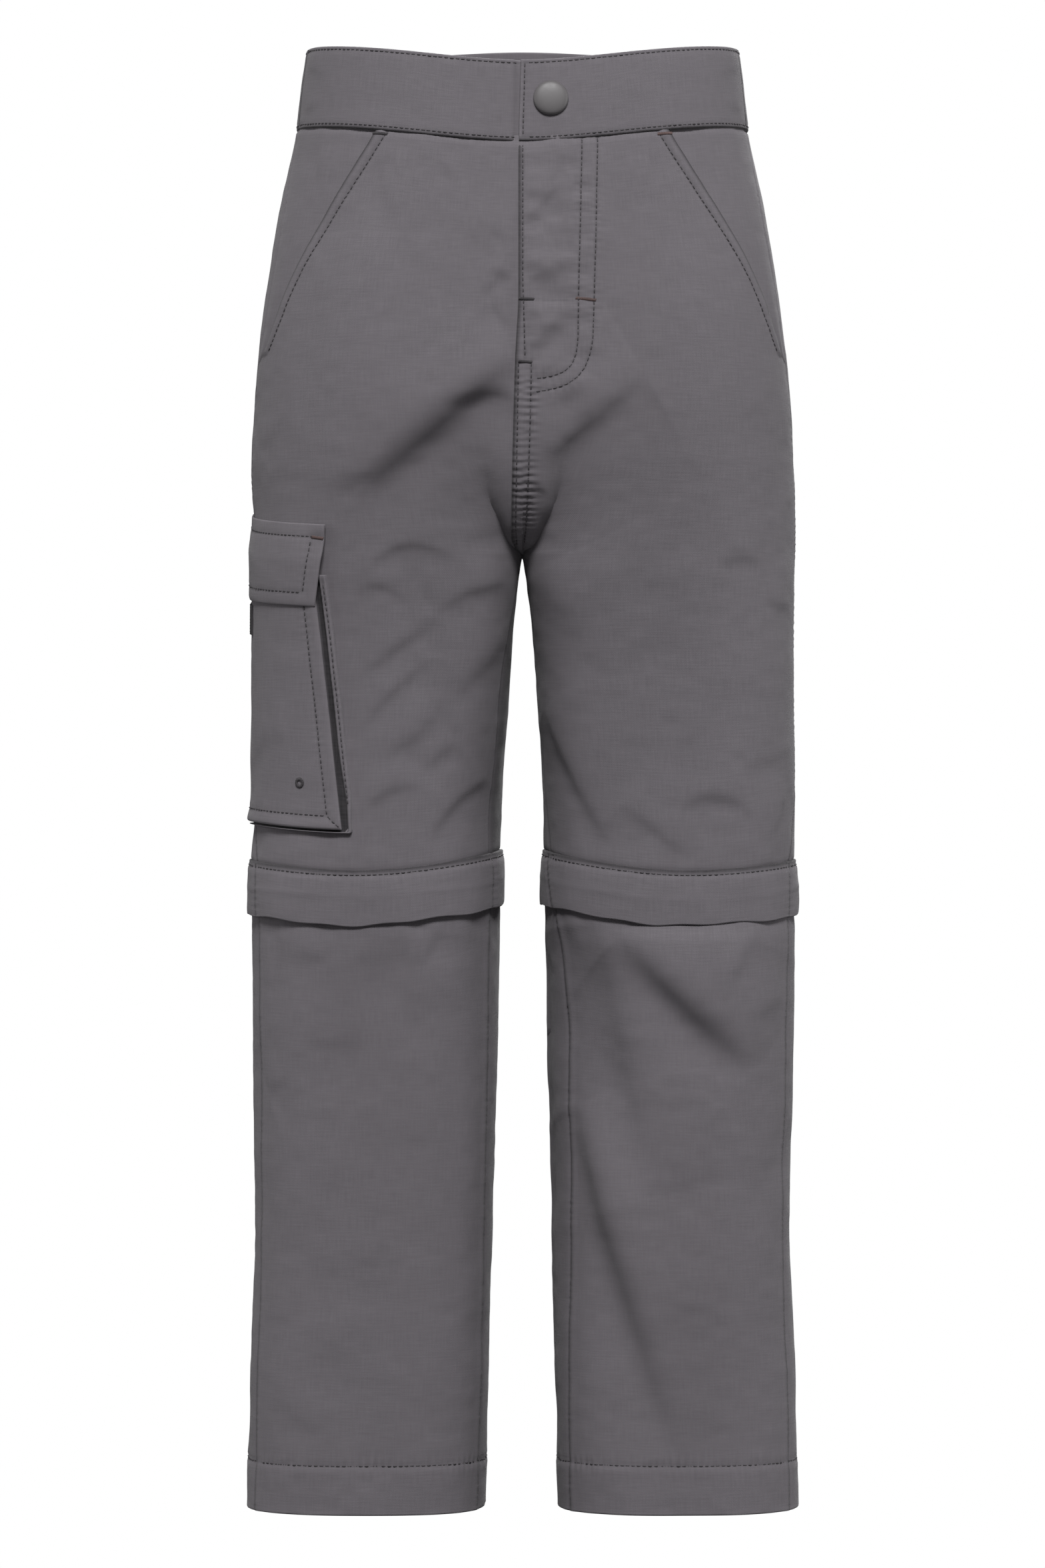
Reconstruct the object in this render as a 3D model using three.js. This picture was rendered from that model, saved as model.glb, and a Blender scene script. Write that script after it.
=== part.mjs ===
// Zip-off trousers for a child of about five, standing open as they are worn, with nobody inside.
// Every piece that is cut and sewn is one closed solid. Millimetres, +Z up, +Y to the back and +X to
// the wearer's left. The origin is the middle of the waistband, where the wearer's waist holds them.

import * as THREE from 'three';

// Driving dimensions
const OUTSIDE_LEG = 700;
const HOLD_HEIGHT = 680;
const WAIST_SEAM = 661;
const CROTCH = 457;
const CROTCH_RISE = 80;
const KNEE = 312;
const CLOTH = 1.0;
const FOLDED_CLOTH = 1.6;
const SEAM_GAP = 0.3;
const SEAM_TURN = 0.17;
const FLY_SHIFT = 1.5;
const WAIST_DIP = { front: 11.5, back: -8, start: 560 };
const LEG_BLEND = 60;

// Knee zip and the flap that hides it
const FLAP_DEPTH = 25.5;
const THIGH_END = KNEE - 9;
const LOWER_TOP = KNEE - 20;
const ZIP_SINK = 2.0;
const ZIP_START = -8;
const KNEE_SAG = { sideways: 2.3, middle: 6.9, level: -0.7 };
const KNEE_SAG_FADE = { below: [200, 285], above: [318, 420] };
const KNEE_FLAP = [
  { height: KNEE - FLAP_DEPTH, out: 1.5 },
  { height: KNEE - 20, out: 1.9 },
  { height: KNEE - 11, out: 1.4 },
  { height: KNEE - 4, out: 0.9 },
  { height: KNEE, out: 0.35 },
];
const ZIP_TAGS = [
  { name: 'zip_slider', floor: 295.5, top: 301.5, halfTurn: 2.6, out: CLOTH - 1.1 },
  { name: 'zip_pull', floor: 288, top: 295.2, halfTurn: 1.6, out: 0.4 },
];

// A place on the cloth is a side (-1 wearer's right, +1 wearer's left), an angle in degrees and a
// height above the hem. The angle is 0 at the outer side, 90 in front, 180 at the inner leg or the
// centre front, and negative towards the back.

// Level sections of one leg: how far its inner and outer edge are from the garment's middle, how
// deep it is in front and behind, and how square its corners are.
const LEG_SECTIONS = [
  { height: 0, inner: 17.8, outer: 132.2, front: 50, back: 50, square: 2.7 },
  { height: 50, inner: 16.6, outer: 131.0, front: 50, back: 51, square: 2.7 },
  { height: 127, inner: 14.6, outer: 129.2, front: 51, back: 52, square: 2.6 },
  { height: 205, inner: 12.7, outer: 129.4, front: 52, back: 54, square: 2.5 },
  { height: 281, inner: 11.1, outer: 130.3, front: 54, back: 56, square: 2.5 },
  { height: 345, inner: 9.5, outer: 131.3, front: 56, back: 59, square: 2.4 },
  { height: 397, inner: 6.4, outer: 131.3, front: 59, back: 64, square: 2.3 },
  { height: 435, inner: 3.4, outer: 131.1, front: 61, back: 69, square: 2.3 },
  { height: 450, inner: 1.6, outer: 131.0, front: 62, back: 71, square: 2.3 },
  { height: 457, inner: 0, outer: 130.9, front: 62, back: 72, square: 2.3 },
];

// Level sections of the seat and waist, from the middle of the garment.
const SEAT_SECTIONS = [
  { height: 380, half: 131.3, front: 78, back: 88, square: 2.4 },
  { height: 457, half: 130.9, front: 82, back: 94, square: 2.4 },
  { height: 500, half: 130.3, front: 84, back: 96, square: 2.4 },
  { height: 540, half: 128.6, front: 84, back: 95, square: 2.4 },
  { height: 580, half: 124.3, front: 82, back: 91, square: 2.4 },
  { height: 620, half: 117.6, front: 77, back: 85, square: 2.3 },
  { height: 661, half: 108.6, front: 71, back: 77, square: 2.3 },
  { height: 700, half: 104.0, front: 67, back: 72, square: 2.3 },
];

// Seam lines, as the angle they stand at for each height
const SIDE_SEAM = [
  { height: 0, angle: 24 },
  { height: 310, angle: 22 },
  { height: 325, angle: 18 },
  { height: 350, angle: 6 },
  { height: 400, angle: 5 },
  { height: 480, angle: 8 },
  { height: 540, angle: 14 },
  { height: 570, angle: 22 },
  { height: 610, angle: 24 },
  { height: 661, angle: 16 },
  { height: 700, angle: 14 },
];
const INSEAM_RIGHT = [
  { height: 0, angle: 154 },
  { height: 300, angle: 154 },
  { height: 350, angle: 152 },
  { height: 400, angle: 148 },
  { height: 437, angle: 150 },
  { height: 457, angle: 180 },
];
const INSEAM_LEFT = [
  { height: 0, angle: 150 },
  { height: 270, angle: 151 },
  { height: 330, angle: 165 },
  { height: 400, angle: 178 },
  { height: 457, angle: 180 },
];
const HIP_POCKET_EDGE = [
  { height: 548, angle: 17 },
  { height: 553, angle: 25 },
  { height: 560, angle: 30 },
  { height: 586, angle: 42 },
  { height: 610, angle: 54 },
  { height: 650, angle: 75 },
  { height: 661, angle: 81 },
];

// The largest folds. Each runs from one place to another, bends aside in its middle, and is a trough
// where its depth is negative.
const FOLDS = [
  { side: -1, angle: 164, height: 539, toAngle: 70, toHeight: 472, bend: 6, width: 11, depth: -5 },
  { side: -1, angle: 140, height: 516, toAngle: 170, toHeight: 503, bend: 0, width: 7, depth: -2.5 },
  { side: -1, angle: 70, height: 620, toAngle: 53, toHeight: 506, bend: 0, width: 14, depth: 3 },
  { side: -1, angle: 166, height: 470, toAngle: 125, toHeight: 459, bend: 0, width: 8, depth: -3 },
  { side: -1, angle: 90, height: 448, toAngle: 125, toHeight: 448, bend: 10, width: 8, depth: -2.5 },
  { side: -1, angle: 74, height: 392, toAngle: 130, toHeight: 428, bend: 3, width: 9, depth: -3.5 },
  { side: -1, angle: 104, height: 360, toAngle: 152, toHeight: 400, bend: -8, width: 9, depth: -3.5 },
  { side: -1, angle: 119, height: 316, toAngle: 156, toHeight: 364, bend: 0, width: 8, depth: -3 },
  { side: -1, angle: 66, height: 306, toAngle: 96, toHeight: 341, bend: 0, width: 8, depth: -2.5 },
  { side: -1, angle: 50, height: 284, toAngle: 32, toHeight: 204, bend: 0, width: 9, depth: 2.5 },
  { side: -1, angle: 106, height: 286, toAngle: 90, toHeight: 220, bend: 0, width: 10, depth: -3 },
  { side: -1, angle: 62, height: 190, toAngle: 70, toHeight: 130, bend: 0, width: 14, depth: -2 },
  { side: 1, angle: 170, height: 500, toAngle: 98, toHeight: 545, bend: -4, width: 14, depth: -5 },
  { side: 1, angle: 176, height: 575, toAngle: 144, toHeight: 601, bend: 0, width: 8, depth: -2.5 },
  { side: 1, angle: 168, height: 480, toAngle: 120, toHeight: 457, bend: 0, width: 8, depth: -3 },
  { side: 1, angle: 110, height: 456, toAngle: 84, toHeight: 442, bend: 3, width: 8, depth: -2.5 },
  { side: 1, angle: 76, height: 445, toAngle: 44, toHeight: 445, bend: 6, width: 8, depth: -2.5 },
  { side: 1, angle: 66, height: 526, toAngle: 30, toHeight: 515, bend: 0, width: 8, depth: -2.5 },
  { side: 1, angle: 158, height: 428, toAngle: 116, toHeight: 322, bend: 6, width: 12, depth: -4 },
  { side: 1, angle: 116, height: 338, toAngle: 78, toHeight: 314, bend: 0, width: 9, depth: -3 },
  { side: 1, angle: 88, height: 342, toAngle: 50, toHeight: 336, bend: 7, width: 7, depth: -3 },
  { side: 1, angle: 126, height: 284, toAngle: 92, toHeight: 176, bend: 0, width: 12, depth: 3 },
  { side: 1, angle: 107, height: 280, toAngle: 46, toHeight: 211, bend: 0, width: 11, depth: -5 },
  { side: 1, angle: 126, height: 176, toAngle: 94, toHeight: 58, bend: 0, width: 14, depth: -3.5 },
  { side: 1, angle: 53, height: 284, toAngle: 62, toHeight: 244, bend: 0, width: 9, depth: -3 },
  { side: -1, angle: -164, height: 520, toAngle: -84, toHeight: 474, bend: 6, width: 13, depth: -5 },
  { side: -1, angle: -150, height: 436, toAngle: -92, toHeight: 414, bend: 5, width: 10, depth: -3.5 },
  { side: -1, angle: -70, height: 362, toAngle: -130, toHeight: 346, bend: 6, width: 9, depth: -4 },
  { side: -1, angle: -66, height: 270, toAngle: -126, toHeight: 246, bend: 0, width: 10, depth: -3.5 },
  { side: -1, angle: -118, height: 214, toAngle: -92, toHeight: 90, bend: 0, width: 13, depth: -3 },
  { side: 1, angle: -166, height: 514, toAngle: -90, toHeight: 482, bend: 5, width: 12, depth: -4.5 },
  { side: 1, angle: -144, height: 428, toAngle: -86, toHeight: 402, bend: 5, width: 11, depth: -3.5 },
  { side: 1, angle: -60, height: 350, toAngle: -124, toHeight: 366, bend: -5, width: 9, depth: -4 },
  { side: 1, angle: -128, height: 276, toAngle: -70, toHeight: 232, bend: 0, width: 11, depth: -4 },
  { side: 1, angle: -72, height: 180, toAngle: -100, toHeight: 70, bend: 0, width: 13, depth: -3 },
];
const ARC_PER_DEGREE = 1.05;
const FOLD_FADE = 14;

// The cargo pocket presses the thigh cloth in under it
const POCKET_PRESS = {
  angle: 4, height: 306, toAngle: 4, toHeight: 500, bend: 0, width: 62, depth: -4.2,
};

// Cargo pocket on the wearer's right thigh: heights at the side, distances out of the thigh cloth
const POCKET_TOP = 475;
const POCKET_MOUTH = 462;
const POCKET_FLAP_END = 434.8;
const POCKET_FACE_TOP = POCKET_MOUTH - 6;
const GUSSET_TOP = POCKET_MOUTH - 10;
const POCKET_FLOOR = 329;
const POCKET_TILT = { turn: 7.4, floorShare: 0.4 };
const POCKET_HALF_TURN = { top: 65, floor: 74 };
const GUSSET_OUT = 0.7;
const GUSSET_THICK = 1.0;
const GUSSET_IN = 5;
const GUSSET_BEYOND = 3;
const FACE_OUT = 2.3;
const POCKET_FLAP_OUT = FACE_OUT + CLOTH + SEAM_GAP;
const POCKET_FLAP = [
  { height: POCKET_FLAP_END, out: POCKET_FLAP_OUT },
  { height: 446, out: POCKET_FLAP_OUT },
  { height: POCKET_MOUTH - 4, out: POCKET_FLAP_OUT },
  { height: 469, out: 1.4 },
  { height: POCKET_TOP, out: 0.35 },
];
const TAPE_TURN = 17;
const TAPE_TOP = POCKET_FLAP_END - 0.5;
const TAPE_FLOOR = 419;

// Waistband: the wearer's right end carries on under the left end and bends in to do so
const BAND_SINK = 1;
const UNDERLAP = { bendFrom: 168, bendTo: 177.83, end: 222, drop: 2, share: 0.26 };

// Hip pocket facing, behind the slanted opening
const FACING_GAP = 0.9;
const FACING_SHOWN = 0.7;
const FACING_UNDER = 8;

// Press stud on the waistband
const SNAP_RADIUS = 8.25;
const SNAP_HEIGHT = 3.2;
const SNAP_RIM = 1.1;
const SNAP_CORNER = 0.5;
const SNAP_PLACE = { side: 1, angle: 158.4, height: 681 };

// Grids, in cells
const FRONT_COLUMNS = 16;
const BACK_COLUMNS = 15;
const THIGH_ROWS = [THIGH_END, KNEE, 322, 334, 348, 363, 378, 392, 405, 418, 430, 441, 450];
const CROTCH_STEPS = [0, 15, 30, 42, 54, 66, 76, 86];
const SEAT_ROWS = [549, 560, 574, 590, 608, 628, 646, WAIST_SEAM - SEAM_GAP / 2];
const LOWER_ROWS = [0, 10, 36, 64, 92, 120, 146, 170, 192, 214, 234, 254, 273, LOWER_TOP];

const CLOTH_FINISH = { color: 0x6a676b, roughness: 0.82, metalness: 0 };
const DARK_FINISH = { color: 0x3a383b, roughness: 0.7, metalness: 0 };
const ZIP_FINISH = { color: 0x4a484b, roughness: 0.55, metalness: 0 };
const STUD_FINISH = { color: 0x686566, roughness: 0.42, metalness: 0.1 };

const trousers = new THREE.Group();

// The value of one named column at a height, between the rows above and below it.
function lookUp(rows, name, height) {
  const last = rows.length - 1;
  if (height <= rows[0].height) return rows[0][name];
  if (height >= rows[last].height) return rows[last][name];
  const i = rows.findIndex((row) => row.height > height);
  const share = (height - rows[i - 1].height) / (rows[i].height - rows[i - 1].height);
  return rows[i - 1][name] + share * (rows[i][name] - rows[i - 1][name]);
}

function ramp(value, from, to) {
  return THREE.MathUtils.smoothstep(value, from, to);
}

function wrapAngle(angle) {
  return THREE.MathUtils.euclideanModulo(angle + 180, 360) - 180;
}

// How far a rounded box's edge is from its middle, in the direction of an angle.
function reach(radians, half, deep, square) {
  const across = Math.abs(Math.cos(radians) / half) ** square;
  const along = Math.abs(Math.sin(radians) / deep) ** square;
  return (across + along) ** (-1 / square);
}

// The waistband dips at the centre front and rises at the centre back.
function waistDip(angle, height) {
  const depth = angle > 0 ? WAIST_DIP.front : WAIST_DIP.back;
  const middle = Math.sin(THREE.MathUtils.degToRad(angle) / 2) ** 2;
  return depth * middle * ramp(height, WAIST_DIP.start, WAIST_SEAM);
}

// The knee seam hangs lower in front and behind than at its sides.
function kneeSag(angle, height) {
  const turn = THREE.MathUtils.degToRad(angle);
  const { sideways, middle, level } = KNEE_SAG;
  const sag = sideways * Math.cos(turn) + middle * Math.sin(turn) ** 2 + level;
  return sag * ramp(height, ...KNEE_SAG_FADE.below) * (1 - ramp(height, ...KNEE_SAG_FADE.above));
}

// How much of a place's shape comes from the middle of the garment.
function middleShare(angle) {
  return Math.abs(Math.sin(THREE.MathUtils.degToRad(angle) / 2)) ** 8;
}

// The fly stands a little to the wearer's right of the middle.
function flyShift(angle, height) {
  return angle > 0 ? FLY_SHIFT * middleShare(angle) * ramp(height, CROTCH, CROTCH + 40) : 0;
}

// No piece of one side crosses the middle, but for the waistband's underlap.
function keepSide(side, angle, height, x) {
  if (height > CROTCH && Math.abs(angle) > 180) return x;
  const least = SEAM_GAP / 2 - side * flyShift(angle, height);
  return side * Math.max(side * x, least);
}

// A point of the smooth figure that the cloth stands on.
function figurePoint(side, angle, nominal) {
  const height = nominal - waistDip(angle, nominal) - kneeSag(angle, nominal);
  const turned = height > CROTCH ? angle : wrapAngle(angle);
  const depthColumn = turned > 0 ? 'front' : 'back';
  const turn = THREE.MathUtils.degToRad(turned);

  const inner = lookUp(LEG_SECTIONS, 'inner', height);
  const outer = lookUp(LEG_SECTIONS, 'outer', height);
  const legDepth = lookUp(LEG_SECTIONS, depthColumn, height);
  const legSquare = lookUp(LEG_SECTIONS, 'square', height);
  const legReach = reach(turn, (outer - inner) / 2, legDepth, legSquare);
  const legX = (inner + outer) / 2 + legReach * Math.cos(turn);
  const legY = -legReach * Math.sin(turn);

  const half = lookUp(SEAT_SECTIONS, 'half', height);
  const seatDepth = lookUp(SEAT_SECTIONS, depthColumn, height);
  const seatSquare = lookUp(SEAT_SECTIONS, 'square', height);
  const seatReach = reach(turn / 2, half, seatDepth, seatSquare);
  const seatX = seatReach * Math.cos(turn / 2);
  const seatY = -seatReach * Math.sin(turn / 2);

  // The two legs run into the seat, and along the middle they meet it in a rounded crotch.
  const middle = middleShare(turned);
  const rise = THREE.MathUtils.clamp((height - CROTCH) / CROTCH_RISE, 0, 1);
  const crotchCurve = Math.sqrt(1 - (1 - rise) ** 2);
  const spread = ramp(height, CROTCH - LEG_BLEND, CROTCH + CROTCH_RISE);
  const share = spread + (crotchCurve - spread) * middle;

  const x = side * (legX + (seatX - legX) * share) - flyShift(turned, height);
  const y = legY + (seatY - legY) * share;
  return new THREE.Vector3(keepSide(side, angle, height, x), y, height - HOLD_HEIGHT);
}

// Which way the figure faces, straight out of its surface.
function figureNormal(side, angle, height) {
  const turn = 0.5;
  const climb = 1;
  const across = figurePoint(side, angle + turn, height).sub(figurePoint(side, angle - turn, height));
  const up = figurePoint(side, angle, height + climb).sub(figurePoint(side, angle, height - climb));
  const normal = across.cross(up).normalize();
  return side > 0 ? normal.negate() : normal;
}

// How deep one fold is at a place: a rounded trough or ridge that tapers out at both ends.
function oneFold(fold, angle, height) {
  const runX = (fold.toAngle - fold.angle) * ARC_PER_DEGREE;
  const runY = fold.toHeight - fold.height;
  const length = Math.hypot(runX, runY);
  const x = (angle - fold.angle) * ARC_PER_DEGREE;
  const y = height - fold.height;
  const along = (x * runX + y * runY) / length ** 2;
  if (along <= 0 || along >= 1) return 0;
  const bowed = fold.bend * 4 * along * (1 - along);
  const aside = (y * runX - x * runY) / length * Math.sign(runX || 1) - bowed;
  return fold.depth * Math.exp(-((aside / fold.width) ** 2)) * (1 - (2 * along - 1) ** 4);
}

// All folds together. They die out at the knee seam and under the cargo pocket, which hold the
// cloth flat.
function foldDepth(side, angle, height) {
  const turned = height > CROTCH ? angle : wrapAngle(angle);
  const heldBelow = ramp(height, LOWER_TOP - FOLD_FADE, LOWER_TOP);
  const heldAbove = 1 - ramp(height, KNEE, KNEE + FOLD_FADE);
  const besidePocket = ramp(Math.abs(turned - POCKET_PRESS.angle), 72, 90);
  const abovePocket = ramp(height, POCKET_TOP + 5, POCKET_TOP + 20);
  const belowPocket = 1 - ramp(height, POCKET_FLOOR - 14, POCKET_FLOOR - 4);
  const pocketLoose = side > 0 ? 1 : Math.max(besidePocket, abovePocket, belowPocket);
  let total = 0;
  for (const fold of FOLDS) {
    if (fold.side === side) total += oneFold(fold, turned, height);
  }
  total *= (1 - heldBelow * heldAbove) * pocketLoose;
  return side > 0 ? total : total + oneFold(POCKET_PRESS, turned, height);
}

// A point of the cloth, moved out of the folded figure by a distance.
function clothPoint(side, angle, height, out) {
  const normal = figureNormal(side, angle, height);
  const point = figurePoint(side, angle, height);
  point.addScaledVector(normal, foldDepth(side, angle, height) + out);
  point.x = keepSide(side, angle, height, point.x);
  return point;
}

// Adds a solid from its corners and faces, turned so that its faces point out.
function addSolid(name, finish, points, faces) {
  const a = new THREE.Vector3();
  let volume = 0;
  for (const [i, j, k] of faces) volume += a.crossVectors(points[i], points[j]).dot(points[k]);
  const index = volume > 0 ? faces.flat() : faces.map(([i, j, k]) => [i, k, j]).flat();
  const geometry = new THREE.BufferGeometry();
  geometry.setFromPoints(points);
  geometry.setIndex(index);
  geometry.computeVertexNormals();
  const mesh = new THREE.Mesh(geometry, new THREE.MeshStandardMaterial(finish));
  mesh.name = name;
  trousers.add(mesh);
}

// A closed wall of cloth over a grid. place(u, v) gives the angle, the height and how far the inner
// face is out of the figure; the outer face is thick further out. A ring joins up with itself.
function addWall(name, finish, { side, across, up, thick, place, ring = false }) {
  const stops = ring ? across : across + 1;
  const points = [];
  for (const layer of [0, thick]) {
    for (let j = 0; j <= up; j++) {
      for (let i = 0; i < stops; i++) {
        const { angle, height, out } = place(i / across, j / up, j);
        points.push(clothPoint(side, angle, height, out + layer));
      }
    }
  }
  const outer = stops * (up + 1);
  const at = (i, j) => j * stops + (i % stops);
  const faces = [];
  const addQuad = (a, b, c, d) => faces.push([a, b, c], [a, c, d]);
  for (let j = 0; j < up; j++) {
    for (let i = 0; i < across; i++) {
      addQuad(outer + at(i, j), outer + at(i + 1, j), outer + at(i + 1, j + 1), outer + at(i, j + 1));
      addQuad(at(i, j), at(i, j + 1), at(i + 1, j + 1), at(i + 1, j));
    }
  }
  for (let i = 0; i < across; i++) {
    addQuad(at(i, 0), at(i + 1, 0), outer + at(i + 1, 0), outer + at(i, 0));
    addQuad(at(i + 1, up), at(i, up), outer + at(i, up), outer + at(i + 1, up));
  }
  if (!ring) {
    for (let j = 0; j < up; j++) {
      addQuad(at(0, j + 1), at(0, j), outer + at(0, j), outer + at(0, j + 1));
      addQuad(at(across, j), at(across, j + 1), outer + at(across, j + 1), outer + at(across, j));
    }
  }
  addSolid(name, finish, points, faces);
}

const sideName = (side) => (side < 0 ? 'right' : 'left');
const sideSeam = (height) => lookUp(SIDE_SEAM, 'angle', height);

function inseam(side, height) {
  return lookUp(side < 0 ? INSEAM_RIGHT : INSEAM_LEFT, 'angle', height);
}

// Edges of the front and back cloth at a height: from the side to the inner leg or centre seam.
function frontEdges(side, height) {
  const open = height > HIP_POCKET_EDGE[0].height;
  const from = open ? lookUp(HIP_POCKET_EDGE, 'angle', height) : sideSeam(height);
  return { from: from + SEAM_TURN, to: inseam(side, height) - SEAM_TURN };
}

function backEdges(side, height) {
  return { from: sideSeam(height) - SEAM_TURN, to: inseam(side, height) - 360 + SEAM_TURN };
}

// A main panel over a list of heights.
function addPanel(name, side, edges, columns, heights) {
  addWall(name, CLOTH_FINISH, {
    side,
    across: columns,
    up: heights.length - 1,
    thick: CLOTH,
    place: (u, v, row) => {
      const height = heights[row];
      const { from, to } = edges(side, height);
      return { angle: from + u * (to - from), height, out: -CLOTH };
    },
  });
}

// Rows close together where the crotch curves away
const crotchRows = CROTCH_STEPS.map((step) => {
  return CROTCH + CROTCH_RISE * (1 - Math.cos(THREE.MathUtils.degToRad(step)));
});
const shortsRows = [...THIGH_ROWS, ...crotchRows, ...SEAT_ROWS];

function addMainPanels(side) {
  const label = sideName(side);
  addPanel(`front_${label}`, side, frontEdges, FRONT_COLUMNS, shortsRows);
  addPanel(`back_${label}`, side, backEdges, BACK_COLUMNS, shortsRows);
  addPanel(`lower_front_${label}`, side, frontEdges, FRONT_COLUMNS, LOWER_ROWS);
  addPanel(`lower_back_${label}`, side, backEdges, BACK_COLUMNS, LOWER_ROWS);
}

// The hip pocket's facing starts flush at the side seam and passes behind the slanted opening.
function addHipPocket(side) {
  const behind = CLOTH + FACING_GAP;
  addWall(`hip_pocket_${sideName(side)}`, CLOTH_FINISH, {
    side,
    across: 10,
    up: SEAT_ROWS.length - 1,
    thick: CLOTH,
    place: (u, v, row) => {
      const height = SEAT_ROWS[row];
      const seam = sideSeam(height) + SEAM_TURN;
      const edge = lookUp(HIP_POCKET_EDGE, 'angle', height);
      const shown = Math.min(u / FACING_SHOWN, 1);
      const under = Math.max((u - FACING_SHOWN) / (1 - FACING_SHOWN), 0);
      const angle = seam + shown * (edge - seam) + under * FACING_UNDER;
      return { angle, height, out: -CLOTH - shown * behind };
    },
  });
}

// Waistband: the wearer's left end laps over the right end, which carries on underneath.
function addWaistband() {
  const floor = WAIST_SEAM + SEAM_GAP / 2;
  const bandHeight = (v) => floor + v * (OUTSIDE_LEG - floor);
  const overlapEnd = 180 - SEAM_TURN;
  addWall('waistband_front_left', CLOTH_FINISH, {
    side: 1,
    across: 18,
    up: 2,
    thick: FOLDED_CLOTH,
    place: (u, v) => {
      const height = bandHeight(v);
      const from = sideSeam(height) + SEAM_TURN;
      return { angle: from + u * (overlapEnd - from), height, out: -BAND_SINK };
    },
  });
  const { bendFrom, bendTo, end, drop, share } = UNDERLAP;
  addWall('waistband_front_right', CLOTH_FINISH, {
    side: -1,
    across: 27,
    up: 2,
    thick: FOLDED_CLOTH,
    place: (u, v) => {
      const height = bandHeight(v);
      const from = sideSeam(height) + SEAM_TURN;
      const shown = Math.min(u / (1 - share), 1);
      const under = Math.max((u - 1 + share) / share, 0);
      const angle = from + shown * (bendTo - from) + under * (end - bendTo);
      return { angle, height, out: -BAND_SINK - drop * ramp(angle, bendFrom, bendTo) };
    },
  });
  addWall('waistband_back', CLOTH_FINISH, {
    side: 1,
    across: 40,
    up: 2,
    thick: FOLDED_CLOTH,
    place: (u, v) => {
      const height = bandHeight(v);
      const seam = sideSeam(height) - SEAM_TURN;
      return { angle: seam - u * (2 * seam + 360), height, out: -BAND_SINK };
    },
  });
}

// Flap over the knee zip, in a front and a back half.
function addKneeFlap(side, half, edges, columns) {
  addWall(`knee_flap_${half}_${sideName(side)}`, CLOTH_FINISH, {
    side,
    across: columns,
    up: KNEE_FLAP.length - 1,
    thick: CLOTH,
    place: (u, v, row) => {
      const { height, out } = KNEE_FLAP[row];
      const { from, to } = edges(side, height);
      return { angle: from + u * (to - from), height, out };
    },
  });
}

// Closed zip between the shorts and the lower leg, with its slider and pull under the flap.
function addKneeZip(side) {
  const label = sideName(side);
  addWall(`knee_zip_${label}`, ZIP_FINISH, {
    side,
    across: 30,
    up: 1,
    thick: FOLDED_CLOTH,
    ring: true,
    place: (u, v) => {
      const height = LOWER_TOP + SEAM_GAP + v * (THIGH_END - LOWER_TOP - 2 * SEAM_GAP);
      return { angle: u * 360 - 180, height, out: -ZIP_SINK };
    },
  });
  for (const { name, floor, top, halfTurn, out } of ZIP_TAGS) {
    addWall(`${name}_${label}`, STUD_FINISH, {
      side,
      across: 2,
      up: 2,
      thick: CLOTH,
      place: (u, v) => {
        const angle = ZIP_START + (2 * u - 1) * halfTurn;
        return { angle, height: floor + v * (top - floor), out };
      },
    });
  }
}

// Heights on the pocket slope down towards the front, less so near its floor.
function pocketHeight(angle, height) {
  const { turn, floorShare } = POCKET_TILT;
  const fade = floorShare + (1 - floorShare) * ramp(height, POCKET_FLOOR, POCKET_TOP);
  return height - turn * fade * Math.sin(THREE.MathUtils.degToRad(angle));
}

function pocketTurn(height) {
  const share = (height - POCKET_FLOOR) / (POCKET_TOP - POCKET_FLOOR);
  return POCKET_HALF_TURN.floor + share * (POCKET_HALF_TURN.top - POCKET_HALF_TURN.floor);
}

// Cargo pocket: a face on a folded gusset, a flap over its mouth and a strip of hook tape.
function addCargoPocket() {
  const side = -1;
  addWall('cargo_face', CLOTH_FINISH, {
    side,
    across: 16,
    up: 8,
    thick: CLOTH,
    place: (u, v) => {
      const height = POCKET_FLOOR + v * (POCKET_FACE_TOP - POCKET_FLOOR);
      const angle = (2 * u - 1) * pocketTurn(height);
      return { angle, height: pocketHeight(angle, height), out: FACE_OUT };
    },
  });
  // The gusset runs down one edge of the face, along its floor and up the other edge.
  const gussetWidth = GUSSET_IN + GUSSET_BEYOND;
  const edgeShare = 0.28;
  addWall('cargo_gusset', CLOTH_FINISH, {
    side,
    across: 36,
    up: 1,
    thick: GUSSET_THICK,
    place: (u, v) => {
      const beyond = v * gussetWidth - GUSSET_IN;
      const floor = POCKET_FLOOR - beyond;
      const fromEnd = Math.min(u, 1 - u);
      const height = GUSSET_TOP + Math.min(fromEnd / edgeShare, 1) * (floor - GUSSET_TOP);
      const half = pocketTurn(height) + beyond / ARC_PER_DEGREE;
      const sweep = THREE.MathUtils.clamp((2 * u - 1) / (1 - 2 * edgeShare), -1, 1);
      const angle = half * sweep;
      return { angle, height: pocketHeight(angle, height), out: GUSSET_OUT };
    },
  });
  addWall('cargo_flap', CLOTH_FINISH, {
    side,
    across: 16,
    up: POCKET_FLAP.length - 1,
    thick: CLOTH,
    place: (u, v, row) => {
      const { height, out } = POCKET_FLAP[row];
      const angle = (2 * u - 1) * (pocketTurn(height) - 1);
      return { angle, height: pocketHeight(angle, height), out };
    },
  });
  addWall('cargo_tape', DARK_FINISH, {
    side,
    across: 4,
    up: 2,
    thick: CLOTH,
    place: (u, v) => {
      const height = TAPE_FLOOR + v * (TAPE_TOP - TAPE_FLOOR);
      const angle = (2 * u - 1) * TAPE_TURN;
      return { angle, height: pocketHeight(angle, height), out: POCKET_FLAP_OUT };
    },
  });
}

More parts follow.
